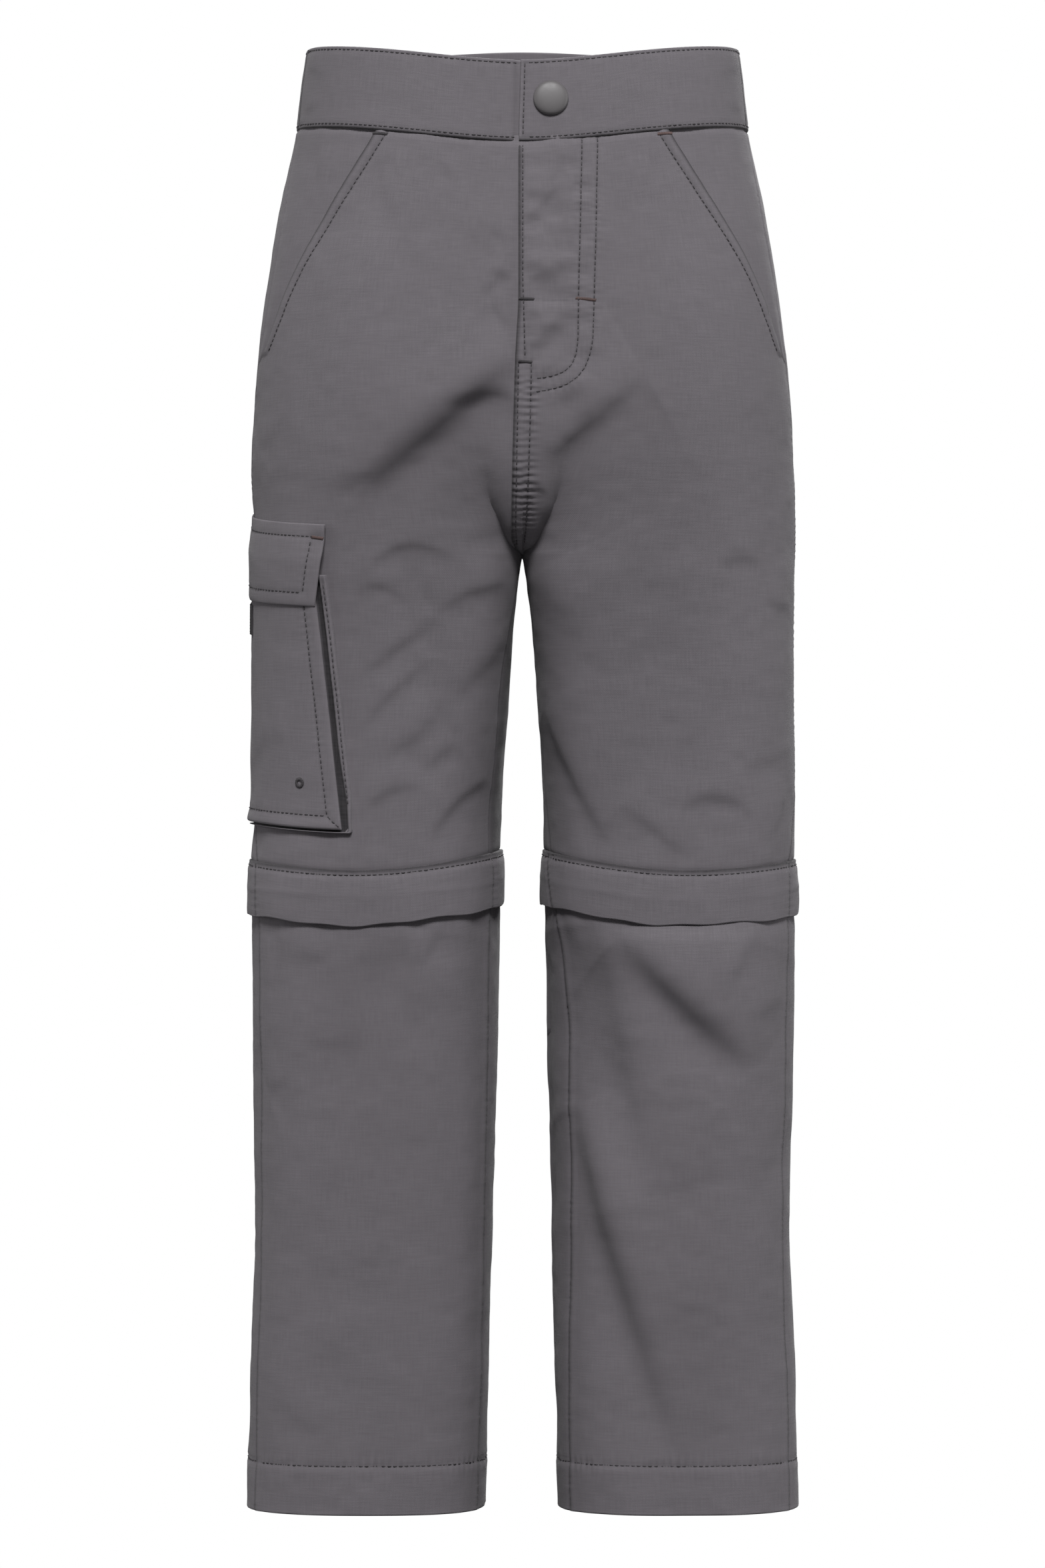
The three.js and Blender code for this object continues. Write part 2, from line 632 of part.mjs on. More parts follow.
// Domed cap of the press stud, standing on the waistband's outer face.
function addSnap() {
  const { side, angle, height } = SNAP_PLACE;
  const out = FOLDED_CLOTH - BAND_SINK + SEAM_GAP;
  const seat = clothPoint(side, angle, height, out);
  const profile = [new THREE.Vector2(0, 0), new THREE.Vector2(SNAP_RADIUS - SNAP_CORNER, 0)];
  profile.push(new THREE.Vector2(SNAP_RADIUS, SNAP_CORNER), new THREE.Vector2(SNAP_RADIUS, SNAP_RIM));
  for (const share of [0.94, 0.8, 0.6, 0.35]) {
    const domed = SNAP_RIM + (SNAP_HEIGHT - SNAP_RIM) * Math.sqrt(1 - share ** 2);
    profile.push(new THREE.Vector2(SNAP_RADIUS * share, domed));
  }
  profile.push(new THREE.Vector2(0, SNAP_HEIGHT));
  const geometry = new THREE.LatheGeometry(profile, 28);
  const mesh = new THREE.Mesh(geometry, new THREE.MeshStandardMaterial(STUD_FINISH));
  mesh.name = 'snap_cap';
  mesh.position.copy(seat);
  mesh.quaternion.setFromUnitVectors(new THREE.Vector3(0, 1, 0), figureNormal(side, angle, height));
  trousers.add(mesh);
}

for (const side of [-1, 1]) {
  addMainPanels(side);
  addHipPocket(side);
  addKneeFlap(side, 'front', frontEdges, FRONT_COLUMNS);
  addKneeFlap(side, 'back', backEdges, BACK_COLUMNS);
  addKneeZip(side);
}
addWaistband();
addCargoPocket();
addSnap();

export default trousers;
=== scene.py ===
# %% [markdown]
# # Zip-off trousers for a child
# These trousers are cut from a fine plain-woven cloth and stand open as they are worn. They are
# made here the way a maker sees them: flat pieces with seam lines, laid on one smooth figure.
# Every piece is a thin closed shell, so it has a thickness at its hems and two faces where it
# stands open. The pieces are computed as grids, because a grid puts a fold or a stitch at a
# measured place.

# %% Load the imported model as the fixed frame
import bmesh
import bpy
import numpy as np
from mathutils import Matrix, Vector
from mathutils.kdtree import KDTree


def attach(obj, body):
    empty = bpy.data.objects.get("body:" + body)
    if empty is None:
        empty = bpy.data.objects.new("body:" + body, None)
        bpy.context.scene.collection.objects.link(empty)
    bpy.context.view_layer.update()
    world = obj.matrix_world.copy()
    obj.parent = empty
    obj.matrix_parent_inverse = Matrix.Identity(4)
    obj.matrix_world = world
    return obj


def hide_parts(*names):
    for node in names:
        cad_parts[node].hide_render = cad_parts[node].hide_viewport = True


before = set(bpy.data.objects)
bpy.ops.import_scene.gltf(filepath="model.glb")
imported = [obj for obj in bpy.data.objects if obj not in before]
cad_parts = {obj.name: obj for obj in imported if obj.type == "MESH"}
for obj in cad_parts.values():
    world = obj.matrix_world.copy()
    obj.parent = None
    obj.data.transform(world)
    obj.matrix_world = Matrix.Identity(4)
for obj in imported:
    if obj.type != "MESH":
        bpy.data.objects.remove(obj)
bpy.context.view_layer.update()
print("CAD nodes:", len(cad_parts))

# %% [markdown]
# ## The figure under the cloth
# Cloth hangs on a body, so the body's smooth form comes first. Level sections give its size at a
# few heights, and a curve that never overshoots joins them. A place on the cloth is a side
# (-1 the wearer's right, +1 the left), an angle in degrees and a height in millimetres above the
# hem. The angle is 0 at the outer side, 90 in front, 180 at the inner leg or the centre front,
# and negative towards the back.

# %% Driving dimensions in millimetres, and a smooth curve through a column of a table
OUTSIDE_LEG = 700
HOLD_HEIGHT = 680
WAIST_SEAM = 661
CROTCH = 457
CROTCH_RISE = 80
KNEE = 312
WAIST_DIP = {"front": 11.5, "back": -8, "start": 560}
KNEE_SAG = {"sideways": 2.3, "middle": 6.9, "level": -0.7}
CLOTH = 0.7
MM = 0.001
# The width of cloth, in millimetres, that one degree takes up
ARC = 1.05
SIDES = {-1: "right", 1: "left"}


def table(names, text):
    values = np.array([[float(v) for v in row.split()] for row in text.strip().split("|")])
    return {name: values[:, i] for i, name in enumerate(names.split())}


def follow(rows, name, height):
    """The value of one column at each height, on a smooth curve that never overshoots."""
    x, y = rows["height"], rows[name]
    step = np.diff(x)
    slope = np.diff(y) / step
    tangent = np.zeros_like(y)
    tangent[0], tangent[-1] = slope[0], slope[-1]
    for i in range(1, len(y) - 1):
        if slope[i - 1] * slope[i] > 0:
            tangent[i] = 2 / (1 / slope[i - 1] + 1 / slope[i])
    h = np.clip(height, x[0], x[-1])
    i = np.clip(np.searchsorted(x, h, side="right") - 1, 0, len(x) - 2)
    t = (h - x[i]) / step[i]
    rise = t * t * (3 - 2 * t)
    start = t * (1 - t) ** 2 * tangent[i] - t * t * (1 - t) * tangent[i + 1]
    return y[i] * (1 - rise) + y[i + 1] * rise + start * step[i]


def ramp(value, low, high):
    """From 0 at low to 1 at high, with a smooth start and end."""
    t = np.clip((value - low) / (high - low), 0, 1)
    return t * t * (3 - 2 * t)


print("outside leg, mm:", OUTSIDE_LEG)

# %% [markdown]
# The sections are level ovals, a little squarer than an ellipse. LEG holds those of one leg, from
# its inner to its outer edge, and SEAT those round both legs together. The seams are kept the same
# way, as an angle or a distance from the middle at each height, so a seam can swing as it climbs.

# %% Tables of the sections and of the seam lines
LEG = table("height inner outer front back square", """
0 17.8 132.2 50 50 2.7 | 50 16.6 131.0 50 51 2.7 | 127 14.6 129.2 51 52 2.6 |
205 12.7 129.4 52 54 2.5 | 281 11.1 130.3 54 56 2.5 | 345 9.5 131.3 56 59 2.4 |
397 6.4 131.3 59 64 2.3 | 435 3.4 131.1 61 69 2.3 | 450 1.6 131.0 62 71 2.3 |
457 0 130.9 62 72 2.3""")
SEAT = table("height half front back square", """
380 131.3 78 88 2.4 | 457 130.9 82 94 2.4 | 500 130.3 84 96 2.4 | 540 128.6 84 95 2.4 |
580 124.3 82 91 2.4 | 620 117.6 77 85 2.3 | 661 108.6 71 77 2.3 | 700 104.0 67 72 2.3""")
SIDE_SEAM = table("height angle", """
0 28 | 300 26 | 325 18 | 350 6 | 400 5 | 480 8 | 540 14 | 570 22 | 610 24 | 661 16 | 700 14""")
INSEAM_RIGHT = table("height angle", "0 154 | 300 154 | 350 152 | 400 148 | 437 150 | 457 180")
INSEAM_LEFT = table("height angle", "0 150 | 270 151 | 330 165 | 400 178 | 457 180")
HIP_OPENING = table("height angle", """
548 17 | 553 25 | 560 30 | 586 42 | 610 54 | 650 75 | 661 81""")
FLY_EDGE = table("height x", """
457 0 | 457.6 -0.8 | 460 -3.6 | 465 -5.2 | 545 -3.5 | 580 -1.9 | 650 -1.9 | 700 -0.8""")
BACK_EDGE = table("height x", "457 0 | 458 -0.8 | 462 -3 | 700 -3")
print("sections of a leg and of the seat:", len(LEG["height"]), len(SEAT["height"]))

# %% [markdown]
# Above the crotch the two legs grow into one seat. A leg's section is drawn over to the seat's
# while the height climbs: fast at the inner leg, which has to close at once, and slowly outside.
# One formula for both keeps the surface smooth, where joined solids would leave an edge.

# %% The smooth figure, and which way it faces
def home(side, angle, height):
    """The side and angle that a place beyond the middle, or round the leg, really has."""
    side, angle, height = np.broadcast_arrays(side, np.asarray(angle, float), height)
    past = (np.abs(angle) > 180) & (height > CROTCH)
    over = np.where(angle > 0, 360 - angle, -360 - angle)
    wrapped = (angle + 180) % 360 - 180
    turned = np.where(height > CROTCH, np.where(past, over, angle), wrapped)
    return np.where(past, -side, side), turned, height


def reach(turn, half, deep, square):
    """How far an oval reaches from its middle at one turn."""
    across = np.abs(np.cos(turn) / half) ** square
    along = np.abs(np.sin(turn) / deep) ** square
    return (across + along) ** (-1 / square)


def oval(rows, turn, ahead, height, half, squarer=0):
    """A point of one level section, from the section's own middle."""
    deep = np.where(ahead, follow(rows, "front", height), follow(rows, "back", height))
    far = reach(turn, half, deep, follow(rows, "square", height) + squarer)
    return far * np.cos(turn), -far * np.sin(turn)


def bowed(angle, height):
    """The height with the dip of the waist and the sag of the knee taken off."""
    turn = np.radians(angle)
    dip = np.where(angle > 0, WAIST_DIP["front"], WAIST_DIP["back"])
    dip = dip * np.sin(turn / 2) ** 2 * ramp(height, WAIST_DIP["start"], WAIST_SEAM)
    sag = KNEE_SAG["sideways"] * np.cos(turn) + KNEE_SAG["middle"] * np.sin(turn) ** 2
    sag = (sag + KNEE_SAG["level"]) * ramp(height, 200, 285) * (1 - ramp(height, 318, 420))
    return height - dip - sag


def figure(side, angle, height):
    """A point of the smooth figure, in millimetres, with +Y to the back."""
    side, angle, height = home(side, angle, height)
    turn = np.radians(angle)
    height = bowed(angle, height)
    ahead = angle > 0
    inner, outer = follow(LEG, "inner", height), follow(LEG, "outer", height)
    squarer = np.where((angle > 90) & (angle <= 180), 1.6 * ramp(height, 320, 440), 0)
    leg_x, leg_y = oval(LEG, turn, ahead, height, (outer - inner) / 2, squarer)
    leg_x = leg_x + (inner + outer) / 2
    seat_x, seat_y = oval(SEAT, turn / 2, ahead, height, follow(SEAT, "half", height))
    middle = np.abs(np.sin(turn / 2)) ** 8
    rise = np.clip((height - CROTCH) / CROTCH_RISE, 0, 1)
    curve = (1 - (1 - rise) ** 2) ** (0.22 + 1.4 * ramp(1 - middle, 0, 0.55))
    spread = ramp(height, CROTCH - 60, CROTCH + CROTCH_RISE)
    share = spread + (curve - spread) * middle
    x = np.maximum(leg_x + (seat_x - leg_x) * share, 0)
    y = leg_y + (seat_y - leg_y) * share
    return np.stack([side * x, y, height - HOLD_HEIGHT], axis=-1)


def unit(vectors):
    return vectors / np.maximum(np.linalg.norm(vectors, axis=-1, keepdims=True), 1e-9)


def facing(side, angle, height):
    """Straight out of the figure."""
    across = figure(side, angle + 0.5, height) - figure(side, angle - 0.5, height)
    up = figure(side, angle, height + 1) - figure(side, angle, height - 1)
    normal = unit(np.cross(across, up))
    return np.where(np.asarray(side)[..., None] > 0, -normal, normal)


def angle_at(x, height, front=1):
    """The angle on the wearer's left where the figure is x from the middle, in front (1) or
    behind (-1). A negative x is past the middle, on the wearer's right."""
    x, height = np.broadcast_arrays(np.asarray(x, float), height)
    turns = np.linspace(90, 180, 181)
    angle = np.empty(x.shape)
    for i in np.ndindex(x.shape):
        away = figure(1, front * turns, height[i])[:, 0]
        near = np.interp(-abs(x[i]), -away, turns)
        angle[i] = near if x[i] >= 0 else 360 - near
    return front * angle


print("half width at the waist, mm:", round(float(figure(1, 0.0, 700.0)[0]), 1))

# %% [markdown]
# ## Folds
# Folds tell how cloth is held: they fan out from the crotch, gather over the knee seam and run
# down the lower legs. Each fold here is one step along a bowed line: the cloth above it bulges,
# drops inwards over a few millimetres, and comes back slowly below. That gives a soft dark line
# with no bright one beside it, as on cloth that slides down and rests on the next fold.

# %% Where each fold starts and ends, how it bows, how wide its step is and how deep
FOLDS = table("side angle height to_angle to_height bend width depth", """
-1 176 546 69 472 3 15 -14.5 | -1 176 527 132 523 5 8 -4.5 | 1 108 540 172 496 -4 14 -8 |
1 140 532 166 525 0 8 -2.6 | 1 116 278 50 210 0 16 -17 | 1 144 194 92 30 0 17 -17 |
1 127 283 99 150 -2 27 -19 | 1 51 278 64 248 1 10 -3 | -1 60 270 66 118 1 20 2.2 |
-1 166 474 120 460 0 7 -1.5 | 1 172 478 128 460 0 7 -1.5 | -1 84 448 127 448 11 6 -2.2 |
-1 70 428 104 432 10 5 -1.7 | -1 116 425 74 394 -1 6 -2.4 | -1 143 442 114 426 3 6 -2.8 |
-1 116 408 78 370 1 5 -2.0 | -1 120 387 89 362 -5 8 -2.8 | -1 147 416 118 384 -1 10 -3 |
-1 127 368 112 356 0 7 -2.2 | -1 82 334 118 347 8 6 -2.2 | -1 149 348 116 320 6 7 -3.0 |
-1 76 355 86 354 0 4 -1.3 | 1 174 488 162 484 0 4 -1.8 | 1 66 450 45 451 3 6 -1.8 |
1 58 523 40 522 0 8 -1.1 | 1 146 446 118 396 3 16 -4.2 | 1 152 382 118 318 -2 9 -4.2 |
1 115 341 80 316 1 7 -2.6 | 1 86 341 50 336 7 6 -2.4 | 1 44 433 23 431 0 6 -1.6 |
1 56 358 20 364 0 8 -1.6 | -1 89 281 84 220 0 11 -2.6 | -1 120 280 116 264 0 6 -2.0 |
-1 40 278 34 234 0 6 -2.0 | -1 34 200 46 206 0 7 -1.6 | -1 158 592 173 586 0 6 -1.8 |
-1 156 574 174 560 0 6 -1.4 | -1 138 618 170 592 0 10 -1.4 | -1 46 652 46.1 636 0 4 -1 |
-1 93 650 98 638 0 4 -0.9 | -1 124 650 132 637 0 4 -0.9 | -1 70 620 53 506 -6 16 2.6 |
-1 88 644 98 606 0 8 -1.1 | -1 28 506 50 522 0 9 -1.6 | -1 44 310 70 326 0 7 -1.6 |
-1 68 308 93 339 0 8 -2 | 1 175 576 146 599 0 8 -2.2 | 1 173 548 148 566 0 6 -1.5 |
1 38 482 27 441 -4 9 -1 | 1 25 348 38 324 0 7 -1.6 | 1 152 648 165 636 0 4 -0.9 |
1 141 646 150 626 0 4 -1 | 1 95 649 96 633 0 4 -0.9 | -1 48 268 72 272 0 7 -1.3 |
-1 40 54 69 36 0 8 -1.1 | 1 31 246 52 238 0 7 -1.5 | 1 58 170 62 30 0 15 -1.6 |
-1 132 230 136 60 0 13 -1.8 | 1 76 200 72 162 0 9 -1.2 | -1 -164 520 -84 474 6 13 -5 |
-1 -150 436 -92 414 5 10 -3.5 | -1 -70 362 -130 346 6 9 -4 | -1 -66 270 -126 246 0 10 -3.5 |
-1 -118 214 -92 90 0 13 -3 | 1 -166 514 -90 482 5 12 -4.5 | 1 -144 428 -86 402 5 11 -3.5 |
1 -60 350 -124 366 -5 9 -4 | 1 -128 276 -70 232 0 11 -4 | 1 -72 180 -100 70 0 13 -3 |
-1 -150 556 -112 580 0 8 -2 | 1 -148 560 -104 574 0 8 -1.8 | -1 -58 316 -84 336 0 7 -2.2 |
1 -116 318 -146 344 0 7 -2.2 | -1 -150 400 -120 376 0 8 -2 | 1 -152 388 -128 372 0 8 -2 |
1 174 620 150 641 1 6 -2.4 | 1 176 584 154 595 0 6 -2.4 | 1 176 548 154 566 1 7 -3 |
1 172 538 152 546 1 5 -1.4 | -1 172 604 148 620 0 10 -2.2 | -1 173 591 154 577 1 8 -1.6 |
-1 81 650 120 584 0 12 -1.6 | 1 124 644 131 577 -5 14 -1.8""")
# How far the cloth comes back below a step, as a share of the step's width
RETURN = 1.3
print("folds:", len(FOLDS["side"]))

# %% [markdown]
# A fold is written once, as a formula, and every row of the table uses it. Its wall is a smooth
# step, and it fades out along its line, sooner at its start than at its end. Under the cargo
# pocket there are no folds: the pocket's layers press the thigh a little flat instead.

# %% The shape of one fold, and the press of the pocket
POCKET_PRESS = -4.2
POCKET_MIDDLE = 4


def fold_depth(angle, height, start, start_height, end, end_height, bend, width, depth):
    """How far one fold moves the cloth out, at each place."""
    run = np.array([(end - start) * ARC, end_height - start_height])
    length = np.hypot(*run)
    x, y = (angle - start) * ARC, height - start_height
    along = (x * run[0] + y * run[1]) / length ** 2
    bow = bend * 4 * along * (1 - along)
    above = (y * run[0] - x * run[1]) / length * np.sign(run[0]) - bow
    inside = np.clip(along, 0, 1)
    wall = width * (1.2 - 0.4 * inside) / 1.76
    step = np.tanh(above / wall) * np.exp(-np.abs(above) / (RETURN * width + 6))
    fading = (inside / 0.4) ** 0.8 * ((1 - inside) / 0.6) ** 1.2
    return -depth / 2 * step * fading


def pocket_press(angle, height):
    """The cargo pocket presses the outer side of the thigh a little flat."""
    across = np.exp(-((angle - POCKET_MIDDLE) * ARC / 62) ** 2)
    return POCKET_PRESS * across * ramp(height, 300, 350) * (1 - ramp(height, 440, 500))


# %% [markdown]
# A fold never runs through a seam that holds the cloth: it dies out at the knee seam, under the
# cargo pocket and at the fly. Between the folds real cloth is never quite flat, so two sizes of
# smooth noise are added, drawn once from a fixed seed so that every run is the same.

# %% Noise on a lattice, and the height of the body cloth over its figure
LATTICE = 64
lattice = np.random.default_rng(7).uniform(-1, 1, (LATTICE, LATTICE, LATTICE))


def noise(points, size):
    """Smooth noise from -1 to 1, with waves about as long as size, in millimetres."""
    p = points / size + 500.3
    cell = np.floor(p).astype(int)
    t = p - cell
    t = t * t * t * (t * (t * 6 - 15) + 10)
    total = 0
    for corner in np.ndindex(2, 2, 2):
        i, j, k = [(cell[..., n] + corner[n]) % LATTICE for n in range(3)]
        share = 1
        for n in range(3):
            share = share * (t[..., n] if corner[n] else 1 - t[..., n])
        total = total + lattice[i, j, k] * share
    return total


def swell(points):
    """Slow unevenness, the same for every layer of cloth at one place."""
    return 0.8 * noise(points * (1, 1, 0.4), 34) + 0.4 * noise(points, 21)


def body_relief(side, angle, height):
    """How far the finished cloth stands out from the figure: folds, fill and crumples."""
    side, angle, height = home(side, angle, height)
    total = np.zeros(height.shape)
    for row in zip(*FOLDS.values()):
        here = (side == row[0]) & (np.abs(height - (row[2] + row[4]) / 2) < 100)
        if here.any():
            total[here] += fold_depth(angle[here], height[here], *row[1:])
    held = ramp(height, 278, 292) * (1 - ramp(height, KNEE, KNEE + 14))
    beside = ramp(np.abs(angle - POCKET_MIDDLE), 72, 90)
    free = np.maximum.reduce([beside, ramp(height, 480, 495), 1 - ramp(height, 315, 325)])
    total *= (1 - held) * np.where(side > 0, 1, free)
    total *= np.where(height > CROTCH, ramp(180 - np.abs(angle), 0, 7), 1)
    total += np.where(side > 0, 0, pocket_press(angle, height))
    # Beside the crotch the front panel spans the hollow between thigh and middle seam
    spanned = 3.5 * np.exp(-(((angle - 145) / 15) ** 2)) * ramp(height, 395, 458)
    total += spanned * (1 - ramp(height, 475, 530))
    points = figure(side, angle, height)
    crumple = 0.5 * ramp(height, 528, 545) * ramp(angle, 128, 142) * (side > 0)
    crumple = crumple * (1 - ramp(height, 646, 657))
    near_knee = ramp(height, 308, 314) * (1 - ramp(height, 318, 345))
    below_knee = ramp(height, 252, 284)
    near_waist = ramp(height, 634, 658)
    gathers = 0.6 * near_knee + 0.5 * below_knee * (height < KNEE - 8) + 0.35 * near_waist
    return (total + swell(points) + gathers * noise(points * (1, 1, 0.3), 9) +
            (0.14 + crumple) * noise(points * (1, 1, 1.4), 8))


shin = body_relief(1, np.full(5, 110.0), np.linspace(200, 280, 5))
print("relief up the left shin, mm:", shin.round(1))


# %% [markdown]
# ## Seams
# A row of stitches pulls the cloth in along a narrow groove and gathers tiny puckers beside it.
# A row is kept as a line on the figure, with the distance run along it. Each piece looks up its
# nearest row, and the thread itself is laid on the same line later.

# %% Rows of stitches as lines on the figure
def route(side, angles, heights, step=0.8):
    """A line through places on one side, given again at even steps along its length."""
    angles, heights = np.broadcast_arrays(np.asarray(angles, float), heights)
    share = np.linspace(0, 1, len(angles))
    fine = np.linspace(0, 1, max(int(len(angles) * 6), 400))
    a, h = np.interp(fine, share, angles), np.interp(fine, share, heights)
    points = figure(side, a, h)
    run = np.concatenate([[0], np.cumsum(np.linalg.norm(np.diff(points, axis=0), axis=1))])
    stops = np.linspace(0, run[-1], max(int(run[-1] / step), 2))
    a, h = np.interp(stops, run, a), np.interp(stops, run, h)
    return {"side": side, "angle": a, "height": h, "run": stops, "points": figure(side, a, h)}


def inset(side, angles, heights, distance):
    """Angles moved sideways over the figure by a distance in millimetres."""
    wide = figure(side, angles + 1, heights) - figure(side, angles - 1, heights)
    return angles + distance / (np.linalg.norm(wide, axis=-1) / 2)


hip_line = route(1, [0, 180], [560, 560])
print("from the side to the centre front at the hips, mm:", round(hip_line["run"][-1]))

# %% [markdown]
# Puckers are never even. A sine with a drifting phase gives a ripple whose crests come a few
# millimetres apart, now closer and now wider, like those of a row sewn by hand on a machine. Only
# the nearest row acts on a point, and a search tree finds it quickly.

# %% Puckers and grooves of the nearest row
GROOVE_WIDE = 1.1
PUCKERS_WIDE = 3.6
SEAM_WIDE = 2.5
THREAD_WIDE = 0.6


def wave(run, seed):
    """An uneven ripple with a crest every few millimetres."""
    drift = np.sin(run / 11.0 + seed) + 0.7 * np.sin(run / 4.7 + seed * 1.7)
    return np.sin(run * 1.85 + 1.2 * drift + seed) * (0.65 + 0.35 * np.sin(run / 7.3 + 2.1 * seed))


def seam_relief(points, routes):
    """Grooves and puckers of the nearest rows, how close each point is to a row, and how much
    it lies right under the thread."""
    flat = points.reshape(-1, 3)
    total, close, tight = np.zeros((3, len(flat)))
    for seed, (line, depth, pucker) in enumerate(routes):
        low, high = line["points"].min(0) - 7, line["points"].max(0) + 7
        chosen = np.flatnonzero(((flat > low) & (flat < high)).all(1))
        if not len(chosen):
            continue
        tree = KDTree(len(line["points"]))
        for i, point in enumerate(line["points"]):
            tree.insert(point, i)
        tree.balance()
        found = [tree.find(point)[1:] for point in flat[chosen]]
        index = np.array([f[0] for f in found])
        away = np.array([f[1] for f in found])
        ripple = wave(line["run"][index], seed * 2.3 + 1)
        groove = -depth * np.exp(-((away / GROOVE_WIDE) ** 2))
        total[chosen] += groove + pucker * np.exp(-((away / PUCKERS_WIDE) ** 2)) * ripple
        close[chosen] = np.maximum(close[chosen], np.exp(-((away / SEAM_WIDE) ** 2)))
        if depth:
            tight[chosen] = np.maximum(tight[chosen], np.exp(-((away / THREAD_WIDE) ** 2)))
    return [values.reshape(points.shape[:-1]) for values in (total, close, tight)]


# %% [markdown]
# ## A shell of cloth
# One helper turns a grid of places into a closed wall. Its outer face has a line about every
# millimetre, fine enough for puckers. Its inner face needs only every third line. Near an edge the
# lines come closer together, so that the edge can be rounded over.

# %% Even grid lines with close ones at their ends
CLOSE = np.array([0.2, 0.45, 0.75])


def lines(low, high, step, close_low=True, close_high=True):
    """Grid stops from low to high, a multiple of three apart, with close ones at the ends."""
    count = 3 * max(int(round((high - low) / step / 3)), 1)
    stops = np.linspace(low, high, count + 1)
    gap = stops[1] - stops[0]
    extra = [stops]
    if close_low:
        extra.append(low + CLOSE * gap)
    if close_high:
        extra.append(high - CLOSE * gap)
    return np.sort(np.concatenate(extra))


def stack(*parts):
    """Grid stops of several stretches, one after the other."""
    return np.concatenate([parts[0]] + [part[1:] for part in parts[1:]])


print("lines over 10 mm of cloth:", lines(0, 10, 1.2).round(1))

# %% [markdown]
# Blender's operators are slow for a hundred thousand points, so the mesh is filled straight from
# arrays with foreach_set. The weave follows the flat cloth, so each point has its place on the
# uncut piece as a UV. Marks are numbers kept at the points, which the material reads later.

# %% A mesh object from arrays
def mesh_object(name, points, faces, uvs=None, marks=None):
    """A smooth-shaded mesh from numpy arrays, in metres. faces is a list of index arrays with
    one row for each polygon."""
    mesh = bpy.data.meshes.new(name)
    loops = np.concatenate([f.ravel() for f in faces]).astype(np.int32)
    sizes = np.concatenate([np.full(len(f), f.shape[1]) for f in faces]).astype(np.int32)
    starts = np.concatenate([[0], np.cumsum(sizes)[:-1]]).astype(np.int32)
    mesh.vertices.add(len(points))
    mesh.vertices.foreach_set("co", (points * MM).astype(np.float32).ravel())
    mesh.loops.add(len(loops))
    mesh.loops.foreach_set("vertex_index", loops)
    mesh.polygons.add(len(sizes))
    mesh.polygons.foreach_set("loop_start", starts)
    mesh.polygons.foreach_set("loop_total", sizes)
    mesh.polygons.foreach_set("use_smooth", np.ones(len(sizes), bool))
    mesh.update(calc_edges=True)
    if uvs is not None:
        layer = mesh.uv_layers.new(name="weave")
        layer.data.foreach_set("uv", uvs[loops].astype(np.float32).ravel())
    for label, values in (marks or {}).items():
        attribute = mesh.attributes.new(label, "FLOAT", "POINT")
        attribute.data.foreach_set("value", values.astype(np.float32))
    mesh.validate()
    thing = bpy.data.objects.new(name, mesh)
    bpy.context.scene.collection.objects.link(thing)
    return thing


# %% [markdown]
# The shell puts the outer face where relief and seams say, and the inner face a thickness behind.
# The outer edge is rounded over, because a turned hem has no sharp corner. Each point keeps
# how near it is to an edge and to a row of stitches, and how much shade is painted into its
# colour in a seam's shadow, for the material. The size of the flat piece is measured on the way:
# its widest row, its tallest column and its area.

# %% The shell itself
INNER_STEP = 3
EDGE_WEAR = 1.6
# How wide the painted seam shade runs from an edge that lies in a seam, in millimetres
CREASE = 1.5
# How much shade is painted into the cloth right under a thread
THREAD_SHADE = 0.3
laid = {}


def border_distances(points):
    """How far each grid point is from the left, right, bottom and top edge along the cloth."""
    across = np.linalg.norm(np.diff(points, axis=1), axis=2)
    up = np.linalg.norm(np.diff(points, axis=0), axis=2)
    left = np.pad(np.cumsum(across, 1), ((0, 0), (1, 0)))
    bottom = np.pad(np.cumsum(up, 0), ((1, 0), (0, 0)))
    return left, left[:, -1:] - left, bottom, bottom[-1:] - bottom


